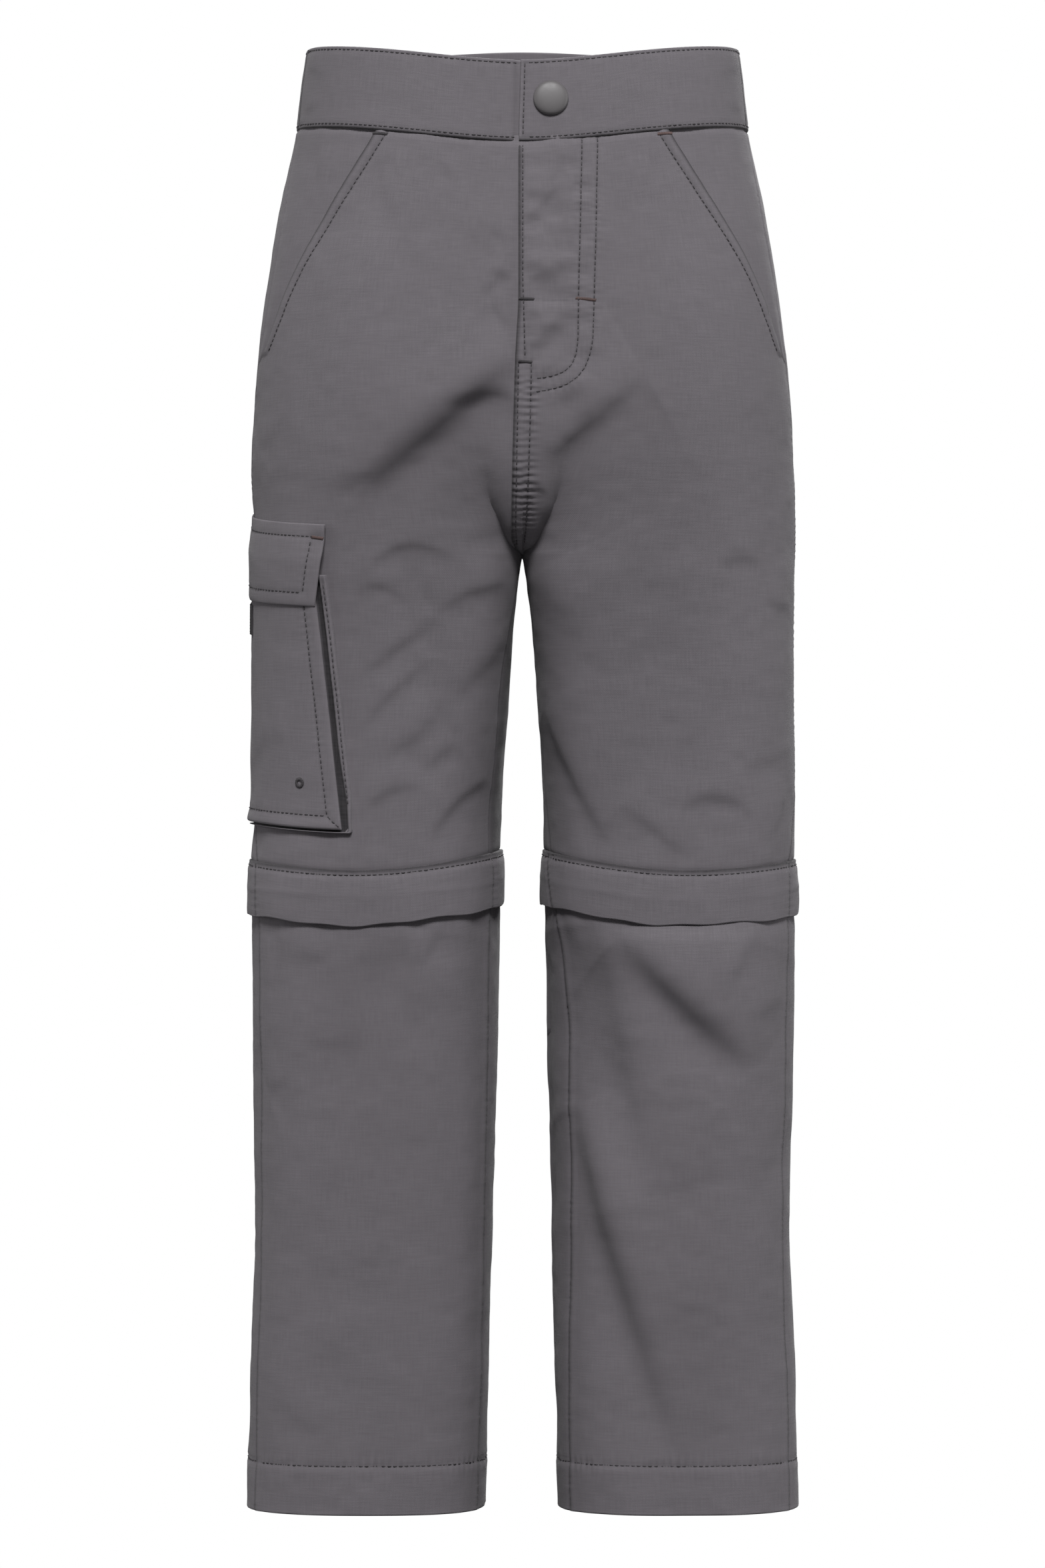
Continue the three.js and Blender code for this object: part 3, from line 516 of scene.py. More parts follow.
def shell(name, side, angles, heights, out, thick=CLOTH, routes=(), relief=body_relief,
          ring=False, rounding=0.6, sunk=(), shade=0):
    """A closed wall of cloth over a grid of places. out moves its outer face off the figure.
    sunk names the edges that lie in a seam, which get a band of painted shade: 0 the first column,
    1 the last, 2 the bottom row, 3 the top row. shade is how much shade is painted into the colour
    at each place, from 0 to 1."""
    angles, heights = np.broadcast_arrays(angles, heights)
    base = figure(side, angles, heights)
    normal = facing(side, angles, heights)
    left, right, bottom, top = border_distances(base)
    groove, close, tight = seam_relief(base, routes)
    edge = np.minimum(bottom, top) if ring else np.minimum.reduce([left, right, bottom, top])
    curl = rounding * thick
    drop = curl - np.sqrt(np.maximum(curl ** 2 - np.maximum(curl - edge, 0) ** 2, 0))
    lift = relief(side, angles, heights) + out + groove - drop
    outer = base + normal * lift[..., None]
    inner_lift = relief(side, angles, heights) + out - thick
    inner = (base + normal * inner_lift[..., None])[::INNER_STEP, ::INNER_STEP]
    rows, columns = edge.shape
    small_rows, small_columns = inner.shape[:2]
    index = np.arange(rows * columns).reshape(rows, columns)
    small = index.size + np.arange(small_rows * small_columns).reshape(small_rows, small_columns)

    def quads(grid):
        cells = [grid[:-1, :-1], grid[:-1, 1:], grid[1:, 1:], grid[1:, :-1]]
        return np.stack([c.ravel() for c in cells], axis=1)

    def rim(fine, coarse):
        """Polygons that join three steps of the outer face to one of the inner."""
        parts = [coarse[:-1], coarse[1:], fine[3::3], fine[2::3][:len(coarse) - 1],
                 fine[1::3][:len(coarse) - 1], fine[:-1:3]]
        return np.stack(parts, axis=1)

    rims = [rim(index[0], small[0]), rim(index[-1][::-1], small[-1][::-1])]
    if not ring:
        rims += [rim(index[::-1, 0], small[::-1, 0]), rim(index[:, -1], small[:, -1])]
    faces = [quads(index), quads(small)[:, ::-1]] + rims
    if side > 0:
        faces = [f[:, ::-1] for f in faces]
    points = np.concatenate([outer.reshape(-1, 3), inner.reshape(-1, 3)])
    flat = np.stack([angles * ARC * MM, heights * MM], axis=-1)
    coarse = flat[::INNER_STEP, ::INNER_STEP]
    uvs = np.concatenate([flat.reshape(-1, 2), coarse.reshape(-1, 2)])
    # Painted shade: the crease mark darkens the colour by the shade given, right under each thread
    # and along each edge that lies in a seam.
    deep = np.maximum(shade, THREAD_SHADE * tight)
    for border in sunk:
        deep = np.maximum(deep, np.exp(-((left, right, bottom, top)[border] / CREASE) ** 2))
    marks = {"edge": np.exp(-edge / EDGE_WEAR), "seam": close, "crease": deep}
    marks = {key: np.concatenate([m.ravel(), m[::INNER_STEP, ::INNER_STEP].ravel()])
             for key, m in marks.items()}
    thing = mesh_object(name, points, faces, uvs, marks)
    laid[name] = [a.reshape(-1, 3) for a in (base, outer, normal)]
    wide = (left[:, -1] + right[:, 0]) / 2
    tall = bottom[-1]
    thing["cut"] = [float(wide.max() * MM), float(tall.max() * MM),
                    float(wide.mean() * tall.mean() * MM * MM)]
    print(f"{name}: {len(thing.data.polygons)} faces")
    return thing


# %% [markdown]
# ## Front and back panels
# Each leg of the shorts has a front and a back. They meet in an outer side seam and an inseam,
# and the two halves meet in the middle. Where two panels join, one lies on top with a turned
# edge, and the other dips and runs on under it. The left front reaches a little past the middle:
# its edge is the fly, and below that the felled seam that runs down to the crotch.

# %% Seam lines, and the edges of the panels between them
LAP = 3.0
DIP = 0.8
BACK_SEAM_WIDE = 6.5


def side_seam(height):
    """The angle of the outer side seam."""
    return follow(SIDE_SEAM, "angle", height)


def inseam(side, height):
    """The angle of the seam down the inner leg."""
    return follow(INSEAM_RIGHT if side < 0 else INSEAM_LEFT, "angle", height)


def opening(height):
    """The slanted pocket opening, which meets the side seam at its lower end."""
    return np.maximum(side_seam(height), follow(HIP_OPENING, "angle", height))


def front_side(height):
    """The outer edge of a front: the pocket opening above, the side seam below."""
    return np.where(height > HIP_OPENING["height"][0], opening(height), side_seam(height))


def panel_edges(side, rows, half):
    """The two upright edges of a front or of a back, which runs on under the front."""
    if half == "front":
        return side_seam(rows), inseam(side, rows)
    return inseam(side, rows) - 360 - LAP, side_seam(rows) + LAP


def past_seams(side, angles, heights):
    """How far places of a back are past the side seam and past the inseam, in millimetres."""
    return (angles - side_seam(heights)) * ARC, (inseam(side, heights) - 360 - angles) * ARC


def tucked(past):
    """From 0 to 1 where cloth dips to run on under its neighbour."""
    return ramp(past, -2.5, 0.3)


print("side seam at hem and knee, degrees:", side_seam(np.array([0, KNEE])).round(1))

# %% [markdown]
# The grid's rows lie closer just above the crotch, where the figure turns fast. At the middle the
# left front ends at the fly's edge, and the right front runs on under it.

# %% Rows of the grid, and the middle edges of the fronts
turns = np.linspace(0, 90, 157)
crotch_rows = CROTCH + CROTCH_RISE * (1 - np.cos(np.radians(turns)))
shorts_rows = stack(lines(303, CROTCH, 1.25, True, False), crotch_rows,
                    lines(CROTCH + CROTCH_RISE, WAIST_SEAM + 3, 1.2, False, True))
back_rows = stack(lines(303, CROTCH, 1.5, True, False), crotch_rows[::2],
                  lines(CROTCH + CROTCH_RISE, WAIST_SEAM + 3, 1.5, False, True))
lower_rows = lines(0, 292, 1.5)

# Each middle edge is an x first, and then an angle on its own side
fly_x = follow(FLY_EDGE, "x", shorts_rows)
under_x = fly_x + 4.5 * ramp(shorts_rows, 460, 480)
high = shorts_rows > CROTCH
fly_edge = np.where(high, angle_at(fly_x, np.maximum(shorts_rows, CROTCH + 0.01)),
                    inseam(1, shorts_rows))
under_edge = np.where(high, angle_at(-under_x, np.maximum(shorts_rows, CROTCH + 0.01)),
                      inseam(-1, shorts_rows))


def between(start, end, share):
    """A grid of angles between two edges that change from row to row."""
    return start[:, None] + share[None, :] * (end - start)[:, None]


def level(rows, angles):
    """The same height all along each row of a grid."""
    return np.broadcast_to(rows[:, None], angles.shape)


def seam_dips(rows):
    """How the cloth dips under the waistband and the top of the knee flap."""
    waist = -0.9 * ramp(rows, WAIST_SEAM - 2.0, WAIST_SEAM + 0.3)
    return (waist - DIP * (1 - ramp(rows, KNEE - 1.5, KNEE + 2)))[:, None]


print("rows of the shorts, front and back:", len(shorts_rows), len(back_rows))


# %% [markdown]
# The rows of stitches on the fronts: the fly has its edge row, two rows in the shape of a J that
# hold the facing, and a faint level row. The felled seam below has a row on each side, and the
# pocket opening has one row inside its edge.

# %% Rows on the fronts
ROW_IN = 6.2


def upright(x, heights):
    """A row on the front given by its distance from the middle."""
    x, heights = np.array(x, float), np.array(heights, float)
    fine = np.linspace(0, 1, 6 * len(x))
    share = np.linspace(0, 1, len(x))
    h = np.interp(fine, share, heights)
    return route(1, angle_at(np.interp(fine, share, x), h), h)


fly_row = upright([0.1, 0.1, 0.1, 1.2], [661, 620, 585, 546])
strip_rows = [upright([-1.9, -2.3, -2.9, -3.4, -3.0], [545, 520, 492, 468, 461]),
              upright([4.2, 3.7, 2.8, 1.8, 1.0], [545, 520, 492, 468, 461])]
j_inner = upright([28, 27.6, 27.2, 26.7, 26.3, 26, 25.2, 23, 19.5, 14.5, 9.5, 5],
                  [661, 640, 618, 596, 575, 556, 549, 543.4, 540.3, 538.4, 537.4, 537])
j_outer = upright([35.4, 35, 34.6, 34.2, 33.7, 33, 31.8, 29.2, 25.5, 20.8, 15.6, 10.4, 5.4],
                  [661, 640, 618, 596, 575, 556, 549, 542.3, 537.6, 534.4, 532.6, 531.4, 530.7])
faint_row = upright([0.5, 7, 14, 20, 26], [575.5, 574.9, 574.6, 574.8, 575.2])
pocket_heights = np.linspace(553, 661, 40)
pocket_rows = {side: route(side, inset(side, opening(pocket_heights), pocket_heights, ROW_IN),
                           pocket_heights) for side in SIDES}
thigh_heights = np.linspace(314, 656, 60)
side_lines = {side: route(side, side_seam(thigh_heights), thigh_heights) for side in SIDES}
# Each row with the depth of its groove and of its puckers
front_routes = {
    1: [(fly_row, 0.3, 0.16), (strip_rows[0], 0.22, 0.4), (strip_rows[1], 0.26, 0.46),
        (j_inner, 0.24, 0.24), (j_outer, 0.26, 0.26), (faint_row, 0.08, 0.1),
        (pocket_rows[1], 0.3, 0.14), (side_lines[1], 0, 0.2)],
    -1: [(pocket_rows[-1], 0.3, 0.14), (side_lines[-1], 0, 0.2)],
}

print("length of the fly's edge row, mm:", round(fly_row["run"][-1]))

# %% [markdown]
# The fly is a folded edge with a facing behind it, and the felled seam below is a folded strip.
# Both are extra layers of cloth, so they raise the front a little where they lie. The turned edge
# of the pocket opening puffs up between its fold and its row of stitches.

# %% The two fronts of the shorts
FOLD_RISE = 0.75
FACING_RISE = 0.3
OPENING_PUFF = 0.8
columns = lines(0, 1, 1 / 150)
strip_wide = np.interp(shorts_rows, [457, 464, 544], [2.5, 5.2, 6.6])[:, None]


def fly_layers(inside, heights):
    """How much the layers of the fly and of the felled seam raise the left front. inside is how
    far a place lies from the front's middle edge."""
    strip = 1 - ramp(inside, strip_wide - 0.7, strip_wide + 0.7)
    below_band = 1 - ramp(heights, 655, 660)
    fly = (1 - ramp(inside, 5, 18)) * below_band
    share = ramp(heights, 545, 556)
    folded = FOLD_RISE * (strip * (1 - share) + fly * share)
    faced = FACING_RISE * ramp(heights, 535, 545) * ramp(inside, 2, 12)
    faced = faced * (1 - ramp(inside, 33, 41)) * below_band
    return np.where(heights > CROTCH, folded + faced, 0)


fronts = {}
for side, label in SIDES.items():
    angles = between(front_side(shorts_rows), fly_edge if side > 0 else under_edge, columns)
    heights = level(shorts_rows, angles)
    out = seam_dips(shorts_rows) + 0 * angles
    if side > 0:
        x = figure(side, angles, heights)[..., 0]
        out = out + fly_layers(x - fly_x[:, None], heights)
    puff = np.clip((angles - opening(heights)) * 0.85 / ROW_IN, 0, 2)
    out = out + np.where(heights > 552, OPENING_PUFF * np.exp(-((puff - 0.4) / 0.5) ** 2), 0)
    # The sunk edges lie in a seam and get a band of painted shade.
    fronts[side] = shell(f"cloth_front_{label}", side, angles, heights, out,
                         routes=front_routes[side], sunk=(0, 1) if side > 0 else (0,))

# %% [markdown]
# The backs are not in the picture, so they are kept plain: they carry the same kind of folds
# round the seat and behind the knees, and a felled seam like the front's down the middle. The
# right one is also shaded beside its inseam, where the picture shows it dark between the thighs.

# %% The two backs of the shorts
back_x = follow(BACK_EDGE, "x", back_rows)
back_under = back_x + 4.5 * ramp(back_rows, 460, 480)
high = back_rows > CROTCH
middle_left = np.where(high, angle_at(back_x, np.maximum(back_rows, CROTCH + 0.01), -1),
                       inseam(1, back_rows) - 360 - LAP)
middle_right = np.where(high, angle_at(-back_under, np.maximum(back_rows, CROTCH + 0.01), -1),
                        inseam(-1, back_rows) - 360 - LAP)
seat_heights = np.linspace(464, 656, 50)
seat_rows = [route(1, angle_at(np.full(50, x), seat_heights, -1), seat_heights)
             for x in (-1.2, 2.0)]
back_columns = lines(0, 1, 1 / 117)
# How much shade is painted into the cloth between the thighs
THIGH_SHADE = 0.6
backs = {}
for side, label in SIDES.items():
    outer_edge = side_seam(back_rows) + LAP
    angles = between(middle_left if side > 0 else middle_right, outer_edge, back_columns)
    heights = level(back_rows, angles)
    beyond, inner_beyond = past_seams(side, angles, heights)
    out = seam_dips(back_rows) - DIP * tucked(beyond)
    out = out - np.where(heights <= CROTCH, DIP * tucked(inner_beyond), 0)
    routes = [(side_lines[side], 0.0, 0.2)]
    if side > 0:
        x = figure(side, angles, heights)[..., 0]
        strip = 1 - ramp(x - back_x[:, None], BACK_SEAM_WIDE - 1.4, BACK_SEAM_WIDE)
        out = out + np.where((heights > CROTCH) & (angles < -90), FOLD_RISE * strip, 0)
        routes += [(line, 0.25, 0.2) for line in seat_rows]
    # Painted shade: beside its inseam the wearer's right back is painted darker, as the shade
    # between the thighs.
    between_thighs = ramp(-inner_beyond, 0, 2) * (1 - ramp(-inner_beyond, 20, 45))
    between_thighs = between_thighs * ramp(heights, 296, 325) * (1 - ramp(heights, 425, 452))
    backs[side] = shell(f"cloth_back_{label}", side, angles, heights, out, routes=routes,
                        shade=THIGH_SHADE * between_thighs * (side < 0))

# %% [markdown]
# ## Lower legs
# The zip-off legs are plain tubes of a front and a back. The hem is turned up and sewn with one
# row, which leaves a band twice as thick with fine ripples above and below the stitches.

# %% Fronts and backs of the lower legs
HEM = 23.5
HEM_LAYER = 0.5
SEAM_RISE = 0.4
LEG_COLUMNS = {"front": 132, "back": 105}


def level_row(side, half, height, count):
    """A row of stitches at one height, from seam to seam of a front or a back."""
    ends = [side_seam(height), inseam(side, height)]
    if half == "back":
        ends = [ends[1] - 360, ends[0]]
    return route(side, np.linspace(*ends, count), np.full(count, height))


lower_heights = np.linspace(2, 290, 60)
lowers = {}
hem_rows = {}
for side, label in SIDES.items():
    hem_rows[side] = [level_row(side, half, HEM, 60) for half in LEG_COLUMNS]
    seams = [(route(side, angles, lower_heights), 0.1, 0.22)
             for angles in (side_seam(lower_heights), inseam(side, lower_heights))]
    for (half, count), hem_row in zip(LEG_COLUMNS.items(), hem_rows[side]):
        start, end = panel_edges(side, lower_rows, half)
        angles = between(start, end, lines(0, 1, 1 / count))
        heights = level(lower_rows, angles)
        if half == "back":
            beyond, inner_beyond = past_seams(side, angles, heights)
            out = -DIP * (tucked(beyond) + tucked(inner_beyond))
        else:
            from_seam = np.minimum(angles - start[:, None], end[:, None] - angles) * ARC
            out = SEAM_RISE * (1 - ramp(from_seam, 2, 6))
        out = out + 0.35 * (1 - ramp(heights, HEM - 3, HEM + 1))
        lowers[half, side] = shell(f"cloth_lower_{half}_{label}", side, angles, heights, out,
                                   thick=CLOTH + HEM_LAYER * (1 - ramp(heights, HEM, HEM + 1)),
                                   routes=seams + [(hem_row, 0.42, 0.42)],
                                   sunk=(0, 1) if half == "front" else ())

# %% [markdown]
# ## Pocket facings and waistband
# Behind each slanted opening a facing of the same cloth closes the hip pocket. It starts flush at
# the side seam and passes behind the opening's edge. It could be a flat patch, but then a gap
# would show at the opening, so it follows the figure like the front does.

# %% Hip pocket facings
FACING_PAST = 8
FACING_BEHIND = 1.1
facing_rows = lines(549, WAIST_SEAM + 3, 1.6)
facings = {}
for side, label in SIDES.items():
    start, end = side_seam(facing_rows), opening(facing_rows) + FACING_PAST
    angles = between(start, end, lines(0, 1, 1 / 60))
    heights = level(facing_rows, angles)
    shown = (angles - side_seam(heights)) / np.maximum(opening(heights) - side_seam(heights), 2)
    out = seam_dips(facing_rows) - 0.05 - FACING_BEHIND * ramp(shown, 0.35, 0.95)
    facings[side] = shell(f"cloth_facing_{label}", side, angles, heights, out,
                          routes=[(side_lines[side], 0, 0.2)])

# %% [markdown]
# The waistband is cloth folded double, so it is thicker and smoother than the panels: it swells a
# little between its two rows of stitches and has only a few short creases. Its left end laps over
# the right end, which bends in and runs on underneath.

# %% Relief of the waistband and its rows of stitches
BAND_OUT = 0.35
BAND = 1.6
BAND_TOP_ROW = 698.4
BAND_LOW_ROW = 663.0
BAND_CREASES = [(90, 676, 120, 680, 2, 5, -0.5), (24, 669, 42, 672, 0, 4, -0.7),
                (20, 690, 44, 686, 0, 5, -0.8), (150, 664, 168, 676, 0, 5, -0.5)]
band_rows = lines(WAIST_SEAM + 0.15, OUTSIDE_LEG, 1.15)
band_edge = angle_at(follow(FLY_EDGE, "x", band_rows), band_rows)


def band_relief(side, angle, height):
    points = figure(side, angle, height)
    total = 0.35 * np.sin(np.pi * (height - WAIST_SEAM) / (OUTSIDE_LEG - WAIST_SEAM))
    for crease in BAND_CREASES:
        total = total + fold_depth(angle, height, *crease)
    return total + 0.3 * noise(points, 30) + 0.12 * noise(points, 8)


def band_pair(side, low, high):
    """The rows along the top and the foot of one part of the band."""
    angles = np.linspace(low, high, 300)
    return [route(side, angles, np.full(300, height)) for height in (BAND_TOP_ROW, BAND_LOW_ROW)]


end_heights = np.linspace(663.4, 698.4, 20)
end_row = route(1, angle_at(follow(FLY_EDGE, "x", end_heights) + 2.0, end_heights), end_heights)
band_lines = {
    "left": (1, [*band_pair(1, 15, 178), end_row]),
    "right": (-1, band_pair(-1, 15, 177)),
    "back": (1, band_pair(1, 14, -375)),
}
print("rows on the waistband:", sum(len(sewn) for side, sewn in band_lines.values()))

# %% [markdown]
# The three parts differ only in where they start and end, so one loop makes them. The right part
# sinks step by step under the left one before it ends out of sight.

# %% Waistband in its three parts
UNDER_END = 222
seam = side_seam(band_rows)
# The edges of each part, how many columns it has and which of its edges lie in a seam and get
# painted shade
band_parts = {
    "left": (seam, band_edge, 111, (0, 2)),
    "right": (seam, 0 * seam + UNDER_END, 135, (0, 2)),
    "back": (-360 - seam, seam, 240, (0, 1, 2)),
}
bands = {}
for label, (start, end, count, sunk) in band_parts.items():
    side, sewn = band_lines[label]
    angles = between(start, end, lines(0, 1, 1 / count))
    out = BAND_OUT + 0 * angles
    if label == "right":
        out = out - 0.3 * ramp(angles, 160, 171) - 1.8 * ramp(angles, 171, 177.5)
    bands[label] = shell(f"cloth_waistband_{label}", side, angles, level(band_rows, angles), out,
                         thick=BAND, routes=[(line, 0.3, 0.18) for line in sewn],
                         relief=band_relief, sunk=sunk)

# %% [markdown]
# ## Knee flaps and zips
# A zip joins each lower leg to the shorts, and a flap of cloth hangs over it. The flap is sewn
# in at its top with a row of stitches, bulges over the zip and ends in a folded edge that waves.
# The wave is a sum of two sines, because a straight edge would look like a metal ring.

# %% Knee flaps
FLAP = table("height out", """
286.5 2.3 | 289 2.4 | 294 2.3 | 301 2.0 | 307 1.5 | 310.4 0.95 | 312.6 0.5""")
FLAP_CLOTH = 0.9
FLAP_ROW = 310.2
flap_rows = lines(286.5, 312.6, 0.9)


def flap_relief(side, angle, height):
    points = figure(side, angle, height)
    loose = ramp(KNEE - height, 3, 20)
    turn = np.radians(angle)
    hang = 0.55 * np.sin(turn * 4.3 + side) + 0.35 * np.sin(turn * 11)
    ridge_height = 299.5 + 1.4 * noise(points, 40)
    ridge = (0.17 + 0.12 * noise(points, 25)) * np.exp(-((height - ridge_height) / 1.8) ** 2)
    return loose * hang * 0.6 + ridge + 0.25 * noise(points, 20) + 0.12 * noise(points, 7)


def flap_heights(side, angles):
    """The rows of a flap, with its free edge waving up and down."""
    turn = np.radians(angles)
    sway = 0.5 * np.sin(turn * 5 + 2 * side) + 0.35 * np.sin(turn * 13 + side)
    return flap_rows[:, None] + sway * (1 - ramp(flap_rows, 288, 306))[:, None]


flaps = {}
flap_lines = {}
for side, label in SIDES.items():
    ends = [route(side, angles, flap_rows) for angles in panel_edges(side, flap_rows, "front")]
    for half in ("front", "back"):
        angles = between(*panel_edges(side, flap_rows, half), lines(0, 1, 1 / 132))
        heights = flap_heights(side, angles)
        out = follow(FLAP, "out", flap_rows)[:, None] + 0 * angles
        if half == "back":
            beyond, inner_beyond = past_seams(side, angles, heights)
            out = out - 0.6 * (tucked(beyond) + tucked(inner_beyond))
        sewn = level_row(side, half, FLAP_ROW, 80)
        flap_lines[half, side] = sewn
        grooves = [(sewn, 0.35, 0.3)] + [(line, 0.1, 0.12) for line in ends]
        flaps[half, side] = shell(f"cloth_knee_flap_{half}_{label}", side, angles, heights, out,
                                  thick=FLAP_CLOTH, routes=grooves, relief=flap_relief,
                                  sunk=(0, 1, 3) if half == "front" else (3,))

# %% [markdown]
# The zip is all but hidden. It goes round the whole leg, so it is a shell that closes on itself:
# two tapes, with ridges for the interlocked teeth between them. The teeth are relief and not
# separate pieces, because nobody sees more of them than a rough line in the dark.

# %% Knee zips
ZIP_LINE = 297.5
ZIP_TAPE = 1.0
ZIP_SUNK = -0.9


def zip_relief(side, angle, height):
    away = height - ZIP_LINE
    teeth = np.abs(np.sin(np.radians(angle) * 90 + np.where(away > 0, 0, np.pi / 2)))
    return np.exp(-((np.abs(away) - 0.9) / 0.75) ** 2) * (0.25 + 0.35 * teeth)


zip_rows = lines(292.3, 302.7, 0.55)
zips = {}
for side, label in SIDES.items():
    angles = np.tile(lines(-180, 180, 0.9, False, False), (len(zip_rows), 1))
    zips[side] = shell(f"knee_zip_tape_{label}", side, angles, level(zip_rows, angles),
                       ZIP_SUNK + 0 * angles, thick=ZIP_TAPE, relief=zip_relief, ring=True)

# %% [markdown]
# Slider and pull are small cast pieces. Each starts as a cube, is drawn to its size and bevelled,
# and then stands on the figure, with its own axes across the leg, up it and straight out of it.

# %% Sliders and pulls
def axes_at(side, angle, height):
    """A place on the figure, and the directions across, up and out from there."""
    spot = figure(side, float(angle), float(height))
    out = Vector(facing(side, np.array([float(angle)]), np.array([float(height)]))[0])
    across = Vector((0, 0, 1)).cross(out).normalized()
    return spot, across, out.cross(across).normalized(), out


def small_block(name, side, angle, height, out, size, bevel, taper=1.0):
    """A rounded metal piece standing on the figure. size is its width, height and thickness."""
    bm = bmesh.new()
    bmesh.ops.create_cube(bm, size=1)
    for v in bm.verts:
        shrink = taper if v.co.z < 0 else 1
        v.co = Vector((v.co.x * size[0] * shrink, v.co.y * size[2], v.co.z * size[1]))
    bmesh.ops.bevel(bm, geom=bm.edges[:], offset=bevel, segments=3, affect="EDGES")
    spot, across, up, outward = axes_at(side, angle, height)
    for v in bm.verts:
        place = Vector(spot) + outward * (out + v.co.y) + across * v.co.x + up * v.co.z
        v.co = place * MM
    bmesh.ops.recalc_face_normals(bm, faces=bm.faces)
    mesh = bpy.data.meshes.new(name)
    bm.to_mesh(mesh)
    bm.free()
    mesh.shade_smooth()
    thing = bpy.data.objects.new(name, mesh)
    bpy.context.scene.collection.objects.link(thing)
    return thing


SLIDER_ANGLE = -8
SLIDER_SIZE = (5.2, 6, 1.1)
PULL_SIZE = (3.2, 7, 0.9)
sliders = {}
pulls = {}
for side, label in SIDES.items():
    sliders[side] = small_block(f"zip_slider_body_{label}", side, SLIDER_ANGLE, 298.5, 0.6,
                                SLIDER_SIZE, bevel=0.45, taper=0.75)
    pulls[side] = small_block(f"zip_pull_tab_{label}", side, SLIDER_ANGLE, 291.6, 1.1,
                              PULL_SIZE, bevel=0.35, taper=1.2)
print("slider, mm:", SLIDER_SIZE, "pull, mm:", PULL_SIZE)

# %% [markdown]
# ## Cargo pocket
# The pocket stands on the side of the right thigh, in four pieces: a face, a narrow gusset folded
# flat behind it, a flap over its mouth and a length of hook tape. Its edges slope, so its pieces
# are laid out straight first, and one formula then slopes them all alike.

# %% Places on the pocket
POCKET_TOP = 475
POCKET_FLOOR = 331
POCKET_FACE_TOP = 456
FLAP_END = 434.8


def pocket_height(angle, height):
    """Heights on the pocket slope down towards the front, less so near its floor."""
    fade = 1.05 * ramp(height, POCKET_FLOOR, POCKET_TOP) - 0.05
    return height - 7.4 * fade * np.sin(np.radians(angle))


def pocket_turn(height):
    """The angle of the face's side edges, which draw in towards the top."""
    return 75 - 0.119 * (height - POCKET_FLOOR)


def pocket_relief(*creases):
    """The relief of one piece of the pocket, with creases of its own."""
    def relief(side, angle, height):
        total = pocket_press(angle, height)
        for crease in creases:
            total = total + fold_depth(angle, height, *crease)
        points = figure(side, angle, height)
        return total + swell(points) + 0.14 * noise(points, 8)
    return relief


def pocket_row(angles, heights):
    return route(-1, angles, pocket_height(np.array(angles, float), np.array(heights, float)))


print("pocket, mm high:", POCKET_TOP - POCKET_FLOOR)

# %% [markdown]
# The face is turned in and sewn down 6 mm inside its edges. The layers underneath swell the cloth
# between edge and row, which gives the raised frame round the pocket. At the lower corners the
# turned edges meet in a mitre.

# %% Pocket face, with its rows of stitches and mitred corners
face_rows = lines(POCKET_FLOOR, POCKET_FACE_TOP, 1.15)
share = lines(-1, 1, 1 / 66)
angles = share[None, :] * pocket_turn(face_rows)[:, None]
heights = pocket_height(angles, face_rows[:, None])
from_front = (pocket_turn(face_rows)[:, None] - angles) * ARC
from_back = (pocket_turn(face_rows)[:, None] + angles) * ARC
from_floor = (face_rows - POCKET_FLOOR)[:, None]
near_edge = np.minimum(np.minimum(from_front, from_back), from_floor)
out = 3.3 + 0.5 * np.exp(-((near_edge - 1.5) / 2.5) ** 2) - 0.35 * np.exp(-(near_edge / 0.7) ** 2)
out = out - 0.9 * ramp(face_rows, 446, POCKET_FACE_TOP)[:, None]
row_floor = POCKET_FLOOR + ROW_IN
up = np.linspace(row_floor, POCKET_FACE_TOP, 50)
front_row = pocket_row(pocket_turn(up) - ROW_IN, up)
back_row = pocket_row(ROW_IN - pocket_turn(up), up)
floor_row = pocket_row(np.linspace(-68, 68, 80), np.full(80, row_floor))
mitres = [pocket_row([s * 68, s * (68 + ROW_IN)], [row_floor, POCKET_FLOOR + 0.8])
          for s in (-1, 1)]
face_lines = [front_row, back_row, floor_row] + mitres
face_relief = pocket_relief((10, 352, 50, 372, 4, 9, -1.0), (-20, 430, 30, 380, 6, 12, -0.9),
                            (35, 415, 60, 350, -4, 8, 0.8), (-55, 400, -10, 345, 5, 12, -1.1))
face = shell("cloth_pocket_face", -1, angles, heights, out, relief=face_relief,
             routes=[(line, 0.25, 0.16) for line in face_lines])

# %% [markdown]
# The gusset's outer fold shows as a light band beside the face, with a dark valley between them.
# It runs down one side, along the floor and up the other in one strip, so its grid is bent round
# the corners. The valley is too narrow for light to model it well, so its shadow is also painted
# into the colour.

# %% Folded gusset round three sides
GUSSET_TOP = 452
EDGE_SHARE = 0.3
along = lines(0, 1, 1 / 345)[:, None]
beyond = np.concatenate([np.linspace(-5, 0.2, 4), np.linspace(0.6, 6.2, 18)])[None, :]
from_end = np.minimum(along, 1 - along)
gusset_heights = GUSSET_TOP + np.minimum(from_end / EDGE_SHARE, 1) * (
    POCKET_FLOOR - beyond * 0.25 - GUSSET_TOP)
half = pocket_turn(gusset_heights) + beyond / ARC * (1 - 0.2 * ramp(gusset_heights, 345, 331))
angles = half * np.clip((2 * along - 1) / (1 - 2 * EDGE_SHARE), -1, 1)
heights = pocket_height(angles, gusset_heights)
valley = 2.0 + 1.5 * (1 - ramp(gusset_heights, 334, 372))
band = ramp(beyond, valley, valley + 1.1) * (1 - 0.9 * ramp(beyond, 5.5, 6.2))
out = 0.4 + 1.9 * band
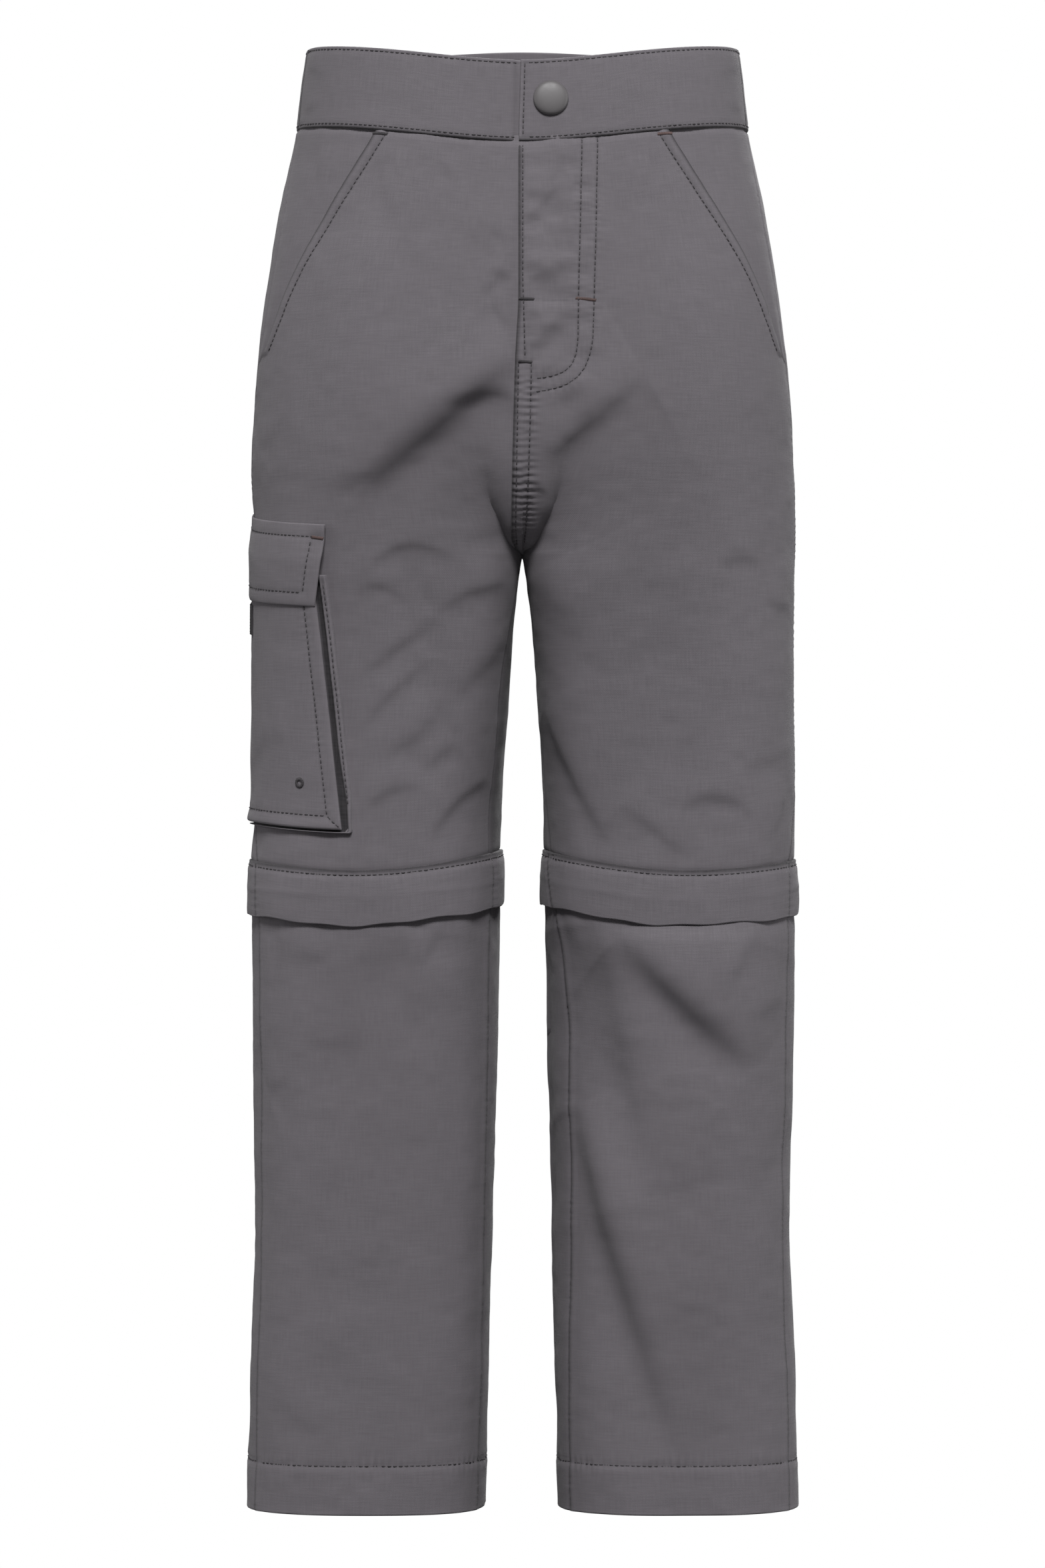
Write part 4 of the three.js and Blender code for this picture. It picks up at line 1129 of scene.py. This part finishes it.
# Painted shadow: the valley between face and gusset fold is painted darker.
valley_shade = ramp(beyond, -1, 0) * (1 - ramp(beyond, valley + 0.1, valley + 0.7))
gusset_up = np.linspace(342, 450, 50)
gusset_rows = [pocket_row(s * (pocket_turn(gusset_up) + 4.4 / ARC), gusset_up) for s in (-1, 1)]
gusset = shell("cloth_pocket_gusset", -1, angles.T, heights.T, out.T, shade=valley_shade.T,
               relief=pocket_relief(),
               routes=[(line, 0.15, 0.2) for line in gusset_rows])

# %% [markdown]
# The flap is folded double and lies over the pocket's mouth. It is sewn in at its top and has a
# row of stitches round its free edges. One upper corner is lifted by the thick end of the seam.

# %% Pocket flap
POCKET_FLAP = table("height out", """
434.8 4.3 | 437 4.7 | 446 4.6 | 456 4.5 | 463 3.4 | 469 2.0 | 475 1.0""")
FLAP_RAISED = 1.5


def flap_turn(height):
    """The flap's side edges draw in towards its lower corners."""
    return 62.1 + 5.3 * (height - FLAP_END) / (POCKET_TOP - FLAP_END)


def flap_row(angles, heights):
    return pocket_row(angles, np.array(heights, float) + FLAP_RAISED)


flap_share = lines(-1, 1, 1 / 66)
cover_rows = lines(FLAP_END, POCKET_TOP, 1.0)
angles = flap_share[None, :] * flap_turn(cover_rows)[:, None]
heights = pocket_height(angles, cover_rows[:, None] + FLAP_RAISED)
out = follow(POCKET_FLAP, "out", cover_rows)[:, None] + 0 * angles
corner = ramp(angles, 58, 66) * ramp(cover_rows, 466, 474)[:, None]
out = out + 1.4 * corner
top_row = flap_row(np.linspace(-66, 66, 80), np.full(80, 469.0))
low_row = flap_row(np.linspace(-56.5, 56.5, 80), np.full(80, 441.6))
cover_up = np.linspace(441.6, 469, 20)
cover_sides = [flap_row(s * (flap_turn(cover_up) - 6.4), cover_up) for s in (-1, 1)]
flap_rows_sewn = [top_row, low_row] + cover_sides
cover_relief = pocket_relief((8, 462, 56, 440, 0, 7, 0.7), (-50, 445, -10, 464, 0, 8, -0.7))
cover = shell("cloth_pocket_flap", -1, angles, heights, out, thick=FLAP_CLOTH,
              relief=cover_relief, routes=[(line, 0.22, 0.15) for line in flap_rows_sewn])

# %% [markdown]
# Under the flap's edge a little dark hook tape looks out. Its hooks are far too small to model, so
# two sines crossed over each other give it a rough face.

# %% Hook tape
TAPE_OUT = 4.3
TAPE_THICK = 0.8
tape_rows = lines(419.5, 434.2, 0.7)
angles = np.tile(lines(-17, 17, 0.8), (len(tape_rows), 1))
heights = pocket_height(angles, tape_rows[:, None])


def tape_relief(side, angle, height):
    ribs = 0.22 * np.abs(np.sin(angle * 2.6)) * np.abs(np.sin(height * 2.2))
    return ribs + pocket_press(angle, height)


tape = shell("pocket_hook_tape", -1, angles, heights, TAPE_OUT + 0 * angles, thick=TAPE_THICK,
             relief=tape_relief)

# %% [markdown]
# ## Press stud
# The stud's cap is a shallow dome with a rolled rim, pressed from metal and painted the colour
# of the cloth. Turning a profile round its axis gives it, with close points where it rolls over.

# %% Stud cap
SNAP_RADIUS = 8.25
SNAP_ANGLE = 158.4
SNAP_HEIGHT = 681.0
SNAP_OUT = BAND_OUT + 0.35
profile = [(0, 3.2), (2.0, 3.17), (4.0, 3.02), (5.6, 2.78), (6.7, 2.5), (7.4, 2.15), (7.9, 1.65),
           (8.2, 1.05), (SNAP_RADIUS, 0.6), (8.0, 0.2), (7.4, 0.0), (6.0, 0.05)]
count = 96
turns = np.radians(np.arange(count) * 360 / count)
spot, *snap_axes = axes_at(1, SNAP_ANGLE, SNAP_HEIGHT)
dome = [(0, 0, profile[0][1])]
dome += [(r * np.cos(t), r * np.sin(t), z) for r, z in profile[1:] for t in turns]
points = (np.array(dome) + (0, 0, SNAP_OUT)) @ np.array(snap_axes) + spot
here = np.arange(count)
after = (here + 1) % count
faces = [np.stack([0 * here, 1 + here, 1 + after], axis=1)]
last = len(profile) - 2
for ring in range(last):
    a = 1 + ring * count
    faces.append(a + np.stack([here, count + here, count + after, after], axis=1))
faces.append((1 + last * count + here)[None, ::-1])
cap = mesh_object("stud_cap", points, faces)
print("stud cap:", len(cap.data.polygons), "faces")

# %% [markdown]
# ## Thread
# Each stitch is a short rounded length of thread that dips into the cloth at both ends. It is
# laid on the finished cloth by asking the nearest grid points how far the cloth has moved from
# the figure, so no thread floats over a fold or sinks into one.

# %% Where the finished cloth is
class Ground:
    """The finished outer face of some pieces, asked by places on the figure."""

    def __init__(self, names):
        parts = [laid[name] for name in names]
        self.base, self.outer, self.normal = [np.concatenate(p) for p in zip(*parts)]

    def lift(self, points):
        low, high = points.min(0) - 5, points.max(0) + 5
        near = np.flatnonzero(((self.base > low) & (self.base < high)).all(1))
        tree = KDTree(len(near))
        for i, n in enumerate(near):
            tree.insert(self.base[n], i)
        tree.balance()
        out = []
        for point in points:
            found = tree.find_n(point, 3)
            weights = np.array([1 / (f[2] + 0.05) for f in found])
            index = near[[f[1] for f in found]]
            moved = ((self.outer[index] - self.base[index]) * weights[:, None]).sum(0)
            out.append(point + moved / weights.sum())
        index = near[[tree.find(point)[1] for point in points]]
        return np.array(out), self.normal[index]


shorts_left = Ground(["cloth_front_left"])
shorts_right = Ground(["cloth_front_right"])
print("points of the left front:", len(shorts_left.base))

# %% [markdown]
# A thread has five sides, which is enough at its size. Its ends are thinner and dip into the
# cloth. The stitches of a row are nearly even: their places vary a little, from a fixed seed. A
# bartack is many stitches side by side, across the end of a seam.

# %% Threads, rows of stitches and bartacks
THREAD = 0.23
THREAD_SIDES = 5
PITCH = 2.7
STITCH = 2.0
TACK_PITCH = 0.42


def thread_mesh(name, starts, ends, normals, radius=THREAD, sink=0.14, rise=0.12):
    """Lengths of thread between pairs of points. stops says how far along each ring of points
    lies, how high over the cloth, and how thick the thread is there."""
    stops = [(0.0, -sink, 0.55), (0.16, rise, 1.0), (0.84, rise, 1.0), (1.0, -sink, 0.55)]
    run = unit(ends - starts)
    across = unit(np.cross(normals, run))
    turns = np.radians(np.arange(THREAD_SIDES) * 360 / THREAD_SIDES)
    rings = []
    for share, lift, size in stops:
        middle = starts + (ends - starts) * share + normals * lift
        for t in turns:
            side_step = across * (np.cos(t) * radius * size * 1.15)
            rings.append(middle + side_step + normals * (np.sin(t) * radius * size))
    points = np.stack(rings, axis=1)
    first = np.arange(len(starts))[:, None] * THREAD_SIDES * len(stops)
    last_ring = len(stops) - 1
    quads = []
    for ring in range(last_ring):
        for i in range(THREAD_SIDES):
            a, b = [ring * THREAD_SIDES + (i + n) % THREAD_SIDES for n in (0, 1)]
            quads.append(first + np.array([[a, b, b + THREAD_SIDES, a + THREAD_SIDES]]))
    end = np.arange(THREAD_SIDES)[None, :]
    caps = [first + end[:, ::-1], first + end + last_ring * THREAD_SIDES]
    return mesh_object(name, points.reshape(-1, 3), [np.concatenate(quads), np.concatenate(caps)])


def sew(name, ground, rows, jitter=0.12):
    """Stitches along several rows, as one piece."""
    random = np.random.default_rng(len(name))
    starts, ends, normals = [], [], []
    for line in rows:
        stops = np.arange(0.6, line["run"][-1] - STITCH, PITCH)
        stops = stops + random.uniform(-jitter, jitter, len(stops))
        for shift, keep in ((0, starts), (STITCH, ends)):
            at = [np.interp(stops + shift, line["run"], line["points"][:, n]) for n in range(3)]
            placed, facing_out = ground.lift(np.stack(at, axis=1))
            keep.append(placed)
        normals.append(facing_out)
    piece = thread_mesh(name, *[np.concatenate(p) for p in (starts, ends, normals)])
    print(f"{name}: {sum(len(s) for s in starts)} stitches")
    return piece


def bartack(name, ground, tacks):
    """Dense cross stitches. Each tack is a line of places and the width across it."""
    starts, ends, normals = [], [], []
    for line, width in tacks:
        stops = np.arange(0, line["run"][-1], TACK_PITCH)
        at = np.stack([np.interp(stops, line["run"], line["points"][:, n]) for n in range(3)], 1)
        placed, facing_out = ground.lift(at)
        run = unit(np.gradient(placed, axis=0))
        across = unit(np.cross(facing_out, run)) * width / 2
        lean = run * 0.25
        starts.append(placed - across - lean)
        ends.append(placed + across + lean)
        normals.append(facing_out)
    return thread_mesh(name, *[np.concatenate(p) for p in (starts, ends, normals)], radius=0.24,
                       sink=0.1, rise=0.22)



# %% [markdown]
# Every row that pulled the cloth in above now gets its thread, on the same line, so grooves and
# stitches can't drift apart. The rows of one piece of cloth are joined in one piece of thread.

# %% All the rows, piece by piece
threads = []
threads.append(sew("thread_fly", shorts_left,
                   [fly_row, *strip_rows, j_inner, j_outer, pocket_rows[1]]))
threads.append(sew("thread_pocket_opening_right", shorts_right, [pocket_rows[-1]]))
backs_ground = Ground(["cloth_back_left", "cloth_back_right"])
threads.append(sew("thread_back_seam", backs_ground, seat_rows))
for label, (side, sewn) in band_lines.items():
    threads.append(sew(f"thread_waistband_{label}", Ground([f"cloth_waistband_{label}"]), sewn))
for side, label in SIDES.items():
    flap_ground = Ground([f"cloth_knee_flap_{half}_{label}" for half in ("front", "back")])
    threads.append(sew(f"thread_knee_flap_{label}", flap_ground,
                       [flap_lines["front", side], flap_lines["back", side]]))
    hem_ground = Ground([f"cloth_lower_{half}_{label}" for half in ("front", "back")])
    threads.append(sew(f"thread_hem_{label}", hem_ground, hem_rows[side]))
threads.append(sew("thread_pocket_face", Ground(["cloth_pocket_face"]), face_lines))
threads.append(sew("thread_pocket_flap", Ground(["cloth_pocket_flap"]), flap_rows_sewn))
threads.append(sew("thread_pocket_gusset", Ground(["cloth_pocket_gusset"]), gusset_rows))

# %% [markdown]
# Bartacks sit where a seam takes the strain: on the fly, at the top of each pocket opening and at
# the corner of the flap. Some are sewn in brown thread. Each is a short line with a width, like
# any other row, and only its stitches lie across it instead of along it.

# %% Bartacks
opening_top = float(opening(660.0))
opening_tacks = {side: (route(side, [opening_top - 0.5, opening_top + 8], [659.3, 659.6]), 1.4)
                 for side in SIDES}
tacks = {
    "thread_tacks_left": (shorts_left, [(upright([-1.5, 5.4], [575.4, 574.8]), 1.5),
                                        (upright([-1.6, 4.6], [545.2, 544.6]), 1.4)]),
    "thread_tack_opening_right": (shorts_right, [opening_tacks[-1]]),
    "thread_brown_tacks": (shorts_left, [(upright([25.2, 34.6], [575.6, 574.8]), 1.5),
                                         opening_tacks[1]]),
    "thread_brown_tack_flap": (Ground(["cloth_pocket_flap"]),
                               [(flap_row([60.5, 66.3], [468.8, 468.2]), 1.5)]),
}
bartacks = {name: bartack(name, ground, rows) for name, (ground, rows) in tacks.items()}
print("pieces with bartacks:", len(bartacks))

# %% [markdown]
# The small eyelet near the pocket's lower corner is embroidered. It could be a ring, but a wheel
# of single stitches round a hole catches the light as the thread does.

# %% The embroidered eyelet
EYELET_ANGLE = 54.5
EYELET_HEIGHT = 351.5


def eyelet(angle, height, hole, wide, count=26):
    """Radial stitches round a small hole in the pocket's face."""
    turns = np.radians(np.arange(count) * 360 / count)
    spots = []
    for radius in (hole, wide):
        a = angle + radius * np.cos(turns) / ARC
        h = height + radius * np.sin(turns)
        spots.append(figure(-1, a, h))
    ground = Ground(["cloth_pocket_face"])
    starts, normals = ground.lift(spots[0])
    ends, _ = ground.lift(spots[1])
    return thread_mesh("thread_eyelet", starts, ends, normals, radius=0.3, sink=0.05, rise=0.25)


eyelet_height = float(pocket_height(EYELET_ANGLE, EYELET_HEIGHT))
bartacks["thread_eyelet"] = eyelet(EYELET_ANGLE, eyelet_height, hole=0.9, wide=2.4)
print("eyelet at height, mm:", round(eyelet_height, 1))

# %% [markdown]
# ## Finishes
# The cloth is woven from two sets of fine threads, a little uneven in thickness, so it shows
# faint streaks along both. One node group makes that weave and its small shadows, another makes
# the slow change of tone over a washed garment, and a third lightens what rubs, edges and seams,
# and paints shade darker into creases and deep seams. They give masks and heights only, and each
# material mixes its own colours from them.

# %% Node helpers
def new_group(name, inputs, outputs):
    group = bpy.data.node_groups.new(name, "ShaderNodeTree")
    for label, kind, value in inputs:
        socket = group.interface.new_socket(label, in_out="INPUT", socket_type=kind)
        if value is not None:
            socket.default_value = value
    for label, kind in outputs:
        group.interface.new_socket(label, in_out="OUTPUT", socket_type=kind)
    return group, group.nodes.new("NodeGroupInput"), group.nodes.new("NodeGroupOutput")


def add(tree, kind, **values):
    """A node with its plain properties set."""
    node = tree.nodes.new(kind)
    for key, value in values.items():
        setattr(node, key, value)
    return node


def feed(tree, node, socket, value):
    """Puts a number, a colour or another node's output into a socket."""
    if isinstance(value, bpy.types.NodeSocket):
        tree.links.new(value, node.inputs[socket])
    else:
        node.inputs[socket].default_value = value


def sums(tree, operation, a, b=0.0, c=0.0):
    node = add(tree, "ShaderNodeMath", operation=operation)
    for socket, value in enumerate((a, b, c)):
        feed(tree, node, socket, value)
    return node.outputs[0]


def streaks(tree, vector, scale, detail=2.0):
    """Noise that is stretched by a different amount each way."""
    mapping = add(tree, "ShaderNodeMapping")
    feed(tree, mapping, "Vector", vector)
    mapping.inputs["Scale"].default_value = scale
    texture = add(tree, "ShaderNodeTexNoise")
    feed(tree, texture, "Vector", mapping.outputs[0])
    feed(tree, texture, "Scale", 1.0)
    feed(tree, texture, "Detail", detail)
    return texture.outputs["Fac"]


# %% [markdown]
# In a plain weave each weft thread passes over one warp thread and under the next. The product of
# two crossed sines has that pattern of hills. Long thin noise along each set of threads gives the
# slubs, where a thread is thicker, which show more than the single threads do.

# %% The weave group: crossing threads and slubs
weave, given, made = new_group(
    "plain_weave", [("Vector", "NodeSocketVector", None), ("Slub", "NodeSocketFloat", 1.0)],
    [("Height", "NodeSocketFloat"), ("Shade", "NodeSocketFloat")])
place = given.outputs["Vector"]
THREADS_PER_METRE = 2600.0
split = add(weave, "ShaderNodeSeparateXYZ")
feed(weave, split, 0, place)
warp = sums(weave, "SINE", sums(weave, "MULTIPLY", split.outputs[0], THREADS_PER_METRE * 3.1416))
weft = sums(weave, "SINE", sums(weave, "MULTIPLY", split.outputs[1], THREADS_PER_METRE * 3.1416))
crossing = sums(weave, "MULTIPLY", warp, weft)
down = streaks(weave, place, (1500.0, 90.0, 1.0))
level = streaks(weave, place, (80.0, 1400.0, 1.0))
slubs = sums(weave, "ADD", down, level)
uneven = sums(weave, "MULTIPLY", sums(weave, "SUBTRACT", slubs, 1.0), given.outputs["Slub"])
height = sums(weave, "MULTIPLY_ADD", crossing, 0.5, sums(weave, "MULTIPLY", uneven, 0.9))
feed(weave, made, "Height", height)
feed(weave, made, "Shade", uneven)

# %% [markdown]
# The tone group mixes broad clouds with finer specks, as washing leaves them. The group for wear
# and painted shade reads the marks kept on the mesh: rubbed edges and seams come out paler, in
# patches, and a crease or a deep seam gets painted shade, which makes its colour darker.
# deep seam comes out darker.

# %% The tone group and the wear group
tone, given, made = new_group(
    "washed_tone", [("Vector", "NodeSocketVector", None), ("Amount", "NodeSocketFloat", 0.1)],
    [("Shade", "NodeSocketFloat")])
clouds = streaks(tone, given.outputs["Vector"], (9.0, 9.0, 9.0), 3.0)
specks = streaks(tone, given.outputs["Vector"], (60.0, 60.0, 60.0), 2.0)
both = sums(tone, "MULTIPLY_ADD", specks, 0.4, clouds)
feed(tone, made, "Shade",
     sums(tone, "MULTIPLY", sums(tone, "SUBTRACT", both, 0.7), given.outputs["Amount"]))

wear_and_shade, given, made = new_group(
    "rubbed_edges_and_painted_shade", [("Edge", "NodeSocketFloat", 0.0), ("Seam", "NodeSocketFloat", 0.0),
                     ("Crease", "NodeSocketFloat", 0.0), ("Vector", "NodeSocketVector", None)],
    [("Light", "NodeSocketFloat")])
patchy = streaks(wear_and_shade, given.outputs["Vector"], (220.0, 220.0, 220.0), 2.0)
marked = sums(wear_and_shade, "MULTIPLY_ADD", given.outputs["Seam"], 0.2, given.outputs["Edge"])
paler = sums(wear_and_shade, "MULTIPLY", sums(wear_and_shade, "MULTIPLY", marked, patchy), 0.22)
# Painted shade takes up to 0.8 off the colour where the crease mark is high; rubbed places come
# out paler.
feed(wear_and_shade, made, "Light", sums(wear_and_shade, "MULTIPLY_ADD", given.outputs["Crease"], -0.8, paler))
print("node groups:", [group.name for group in bpy.data.node_groups])

# %% [markdown]
# Each cloth material starts from one warm grey. The weave darkens and lightens it a little along
# its threads, the tone shifts it over the garment, the rubbed places come out paler, and painted
# shade darkens creases, deep seams and other shaded hollows. The sheen on the shader gives the
# pale bloom that cloth shows where it turns away.

# %% Cloth and thread materials
def principled(name):
    material = bpy.data.materials.new(name)
    material.use_nodes = True
    tree = material.node_tree
    return material, tree, tree.nodes["Principled BSDF"]


def washed_shade(tree, spot, amount):
    """The slow change of tone over the garment."""
    washed = add(tree, "ShaderNodeGroup", node_tree=tone)
    feed(tree, washed, "Vector", spot.outputs["Object"])
    feed(tree, washed, "Amount", amount)
    return washed.outputs["Shade"]


def tint(tree, shader, color, light):
    """The colour, made lighter or darker by a small number."""
    scaled = add(tree, "ShaderNodeVectorMath", operation="SCALE")
    scaled.inputs[0].default_value = color
    feed(tree, scaled, "Scale", sums(tree, "ADD", light, 1.0))
    feed(tree, shader, "Base Color", scaled.outputs[0])


def bump(tree, shader, height, distance, strength=1.0):
    """A bump map. distance is its height in metres."""
    node = add(tree, "ShaderNodeBump")
    feed(tree, node, "Height", height)
    node.inputs["Strength"].default_value = strength
    node.inputs["Distance"].default_value = distance
    feed(tree, shader, "Normal", node.outputs[0])


def cloth_material(name, color):
    material, tree, shader = principled(name)
    uv = add(tree, "ShaderNodeUVMap", uv_map="weave")
    spot = add(tree, "ShaderNodeTexCoord")
    woven = add(tree, "ShaderNodeGroup", node_tree=weave)
    feed(tree, woven, "Vector", uv.outputs[0])
    feed(tree, woven, "Slub", 1.0)
    # This group makes rubbed edges and seams paler and paints shade darker into creases and seams.
    marked = add(tree, "ShaderNodeGroup", node_tree=wear_and_shade)
    feed(tree, marked, "Vector", spot.outputs["Object"])
    for label in ("Edge", "Seam", "Crease"):
        near = add(tree, "ShaderNodeAttribute", attribute_name=label.lower())
        feed(tree, marked, label, near.outputs["Fac"])
    washed = washed_shade(tree, spot, 0.16)
    light = sums(tree, "MULTIPLY_ADD", woven.outputs["Shade"], 0.22, washed)
    tint(tree, shader, color, sums(tree, "ADD", marked.outputs["Light"], light))
    rough = sums(tree, "MULTIPLY_ADD", woven.outputs["Shade"], -0.25, 0.86)
    feed(tree, shader, "Roughness", rough)
    bump(tree, shader, woven.outputs["Height"], 0.00012, strength=0.5)
    shader.inputs["Sheen Weight"].default_value = 0.12
    shader.inputs["Sheen Roughness"].default_value = 0.5
    shader.inputs["Specular IOR Level"].default_value = 0.32
    return material


def thread_material(name, color):
    material, tree, shader = principled(name)
    spot = add(tree, "ShaderNodeTexCoord")
    tint(tree, shader, color, washed_shade(tree, spot, 0.9))
    shader.inputs["Roughness"].default_value = 0.6
    twist = streaks(tree, spot.outputs["Object"], (2500.0, 2500.0, 2500.0))
    bump(tree, shader, twist, 0.0001)
    return material


GREY = (0.136, 0.125, 0.138)
cloth = cloth_material("grey_cloth", GREY)
thread_grey = thread_material("thread_grey", (0.036, 0.032, 0.036))
thread_brown = thread_material("thread_brown", (0.10, 0.062, 0.058))

# %% [markdown]
# Zip tape, hook tape, painted sliders and the painted stud differ in colour, in roughness and in
# how coarse their grain is. One function makes all four, so each is one line.

# %% Zip, hook tape and stud materials
def hard_material(name, color, rough, metal, grain, depth):
    """grain is how many speckles lie in a metre, and depth is their height in metres."""
    material, tree, shader = principled(name)
    spot = add(tree, "ShaderNodeTexCoord")
    tint(tree, shader, color, washed_shade(tree, spot, 0.25))
    fine = streaks(tree, spot.outputs["Object"], (grain, grain, grain))
    feed(tree, shader, "Roughness", sums(tree, "MULTIPLY_ADD", fine, 0.16, rough - 0.08))
    bump(tree, shader, fine, depth, strength=0.4)
    shader.inputs["Metallic"].default_value = metal
    return material


zip_cloth = hard_material("zip_tape", (0.05, 0.047, 0.052), 0.75, 0.0, 1800.0, 0.0001)
zip_metal = hard_material("painted_slider", (0.09, 0.085, 0.092), 0.42, 0.3, 900.0, 0.00003)
hook_cloth = hard_material("hook_tape", (0.035, 0.032, 0.036), 0.9, 0.0, 1500.0, 0.0002)
stud_paint = hard_material("painted_stud", (0.11, 0.104, 0.107), 0.5, 0.0, 500.0, 0.00002)
print("materials:", [material.name for material in bpy.data.materials])

# %% [markdown]
# ## Putting the pieces on the frame
# Every piece says which solid it stands for, which finish it takes and how it moves. Nothing on
# these trousers moves by itself, so all of them ride on the one body. Each piece of cloth also
# says how big it was cut, which is measured from its grid.

# %% Ride and replace
def dress(piece, material, nodes=()):
    piece.data.materials.clear()
    piece.data.materials.append(material)
    if nodes:
        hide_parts(*nodes)
    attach(piece, "root")
    return piece


LEAST_AREA = 0.31


def declare(piece):
    """Works out the flat width, height and area of a piece, and keeps none of them."""
    wide, tall, area = piece["cut"]
    area = min(max(area, LEAST_AREA * wide * tall), wide * tall)


for side, label in SIDES.items():
    front_band = f"cloth_waistband_{label}"
    sheets = [
        (fronts[side], f"front_{label}", "hung", front_band),
        (backs[side], f"back_{label}", "hung", "cloth_waistband_back"),
        (facings[side], f"hip_pocket_{label}", "hung", front_band),
        (lowers["front", side], f"lower_front_{label}", "hung", f"knee_zip_tape_{label}"),
        (lowers["back", side], f"lower_back_{label}", "hung", f"knee_zip_tape_{label}"),
        (flaps["front", side], f"knee_flap_front_{label}", "hung", f"cloth_front_{label}"),
        (flaps["back", side], f"knee_flap_back_{label}", "hung", f"cloth_back_{label}"),
    ]
    for piece, node, held, rests_on in sheets:
        dress(piece, cloth, [node])
        declare(piece)
    dress(zips[side], zip_cloth, [f"knee_zip_{label}"])
    declare(zips[side])
    dress(sliders[side], zip_metal, [f"zip_slider_{label}"])
    dress(pulls[side], zip_metal, [f"zip_pull_{label}"])
for label, node in (("left", "waistband_front_left"), ("right", "waistband_front_right"),
                    ("back", "waistband_back")):
    dress(bands[label], cloth, [node])
    declare(bands[label])
for piece, node, rests_on in ((face, "cargo_face", "cloth_pocket_gusset"),
                              (gusset, "cargo_gusset", "cloth_front_right"),
                              (cover, "cargo_flap", "cloth_pocket_face")):
    dress(piece, cloth, [node])
    declare(piece)
dress(tape, hook_cloth, ["cargo_tape"])
declare(tape)
dress(cap, stud_paint, ["snap_cap"])
for piece in threads:
    dress(piece, thread_grey)
for name, piece in bartacks.items():
    dress(piece, thread_brown if "brown" in name else thread_grey)

# %% [markdown]
# ## Studio
# The picture was taken straight from the front, from a little above the knee seams, against plain
# white. A camera far away with a long lens keeps the two hems alike, as they are there.

# %% Camera
CAMERA_AWAY = 3.0
CAMERA_HEIGHT = 0.347
SEEN_HEIGHT = 0.756
camera_data = bpy.data.cameras.new("camera")
camera_data.sensor_width = 36
camera_data.lens = 36 * CAMERA_AWAY / SEEN_HEIGHT
camera = bpy.data.objects.new("camera", camera_data)
camera.location = (0, -CAMERA_AWAY, CAMERA_HEIGHT - HOLD_HEIGHT * MM)
camera.rotation_euler = (np.pi / 2, 0, 0)
bpy.context.scene.collection.objects.link(camera)
bpy.context.scene.camera = camera
print("lens, mm:", round(camera_data.lens, 1))

# %% [markdown]
# Behind the trousers a sheet of paper runs along the floor and curves up into a wall, so no corner
# shows. To the camera it glows plain white. To the lamps it is dark, so that little of their light
# comes back from it onto the cloth.

# %% Floor that curves up into a backdrop
FLOOR = -0.699
FLOOR_BACK = 4.2
CURVE = 0.8
WALL_TOP = 4.0
REACH = 6.0
bends = np.radians(np.linspace(0, 90, 13))
profile = [(-REACH, FLOOR)]
profile += [(FLOOR_BACK + CURVE * np.sin(b), FLOOR + CURVE * (1 - np.cos(b))) for b in bends]
profile += [(FLOOR_BACK + CURVE, WALL_TOP)]
points = np.array([[x, y, z] for y, z in profile for x in (-REACH, REACH)]) / MM
steps = np.arange(len(profile) - 1)[:, None] * 2
backdrop = mesh_object("backdrop", points, [steps + np.array([[0, 1, 3, 2]])])
material, tree, shader = principled("white_paper")
shader.inputs["Base Color"].default_value = (0.12, 0.12, 0.12, 1)
shader.inputs["Roughness"].default_value = 0.9
glow = add(tree, "ShaderNodeEmission")
glow.inputs["Color"].default_value = (1, 1, 1, 1)
glow.inputs["Strength"].default_value = 1.0
path = add(tree, "ShaderNodeLightPath")
mix = add(tree, "ShaderNodeMixShader")
feed(tree, mix, 0, path.outputs["Is Camera Ray"])
tree.links.new(shader.outputs[0], mix.inputs[1])
tree.links.new(glow.outputs[0], mix.inputs[2])
tree.links.new(mix.outputs[0], tree.nodes["Material Output"].inputs["Surface"])
backdrop.data.materials.append(material)

# %% [markdown]
# A wide lamp high in front gives the folds their soft shadows. Another one high behind lights the
# back and the inside of the waist, and two weak ones keep the sides from going dark. A faint even
# light fills the rest. The world looks white to the camera, as the paper does.

# %% Lamps and the even light
def lamp(name, place, target, size, watts):
    data = bpy.data.lights.new(name, "AREA")
    data.shape = "RECTANGLE"
    data.size, data.size_y = size
    data.energy = watts
    thing = bpy.data.objects.new(name, data)
    thing.location = place
    aim = Vector(target) - Vector(place)
    thing.rotation_euler = aim.to_track_quat("-Z", "Y").to_euler()
    bpy.context.scene.collection.objects.link(thing)
    return thing


lamp("lamp_above_front", (0.1, -3.9, 3.7), (0, 0, -0.45), (2.4, 1.2), 352)
lamp("lamp_left", (-2.3, -0.1, 0.1), (0, 0, -0.4), (1.0, 1.8), 13)
lamp("lamp_right", (2.3, -0.1, 0.1), (0, 0, -0.4), (1.0, 1.8), 16)
lamp("lamp_back", (0.8, 4.2, 2.6), (0, 0, -0.35), (2.4, 1.4), 230)
EVEN_LIGHT = 0.08
print("lamps:", [light.name for light in bpy.data.lights])
world = bpy.data.worlds.new("even_light")
world.use_nodes = True
tree = world.node_tree
background = tree.nodes["Background"]
background.inputs["Color"].default_value = (1, 1, 1, 1)
path = add(tree, "ShaderNodeLightPath")
seen_white = sums(tree, "MULTIPLY_ADD", path.outputs["Is Camera Ray"], 1 - EVEN_LIGHT, EVEN_LIGHT)
feed(tree, background, "Strength", seen_white)
bpy.context.scene.world = world
bpy.context.scene.view_settings.view_transform = "Standard"
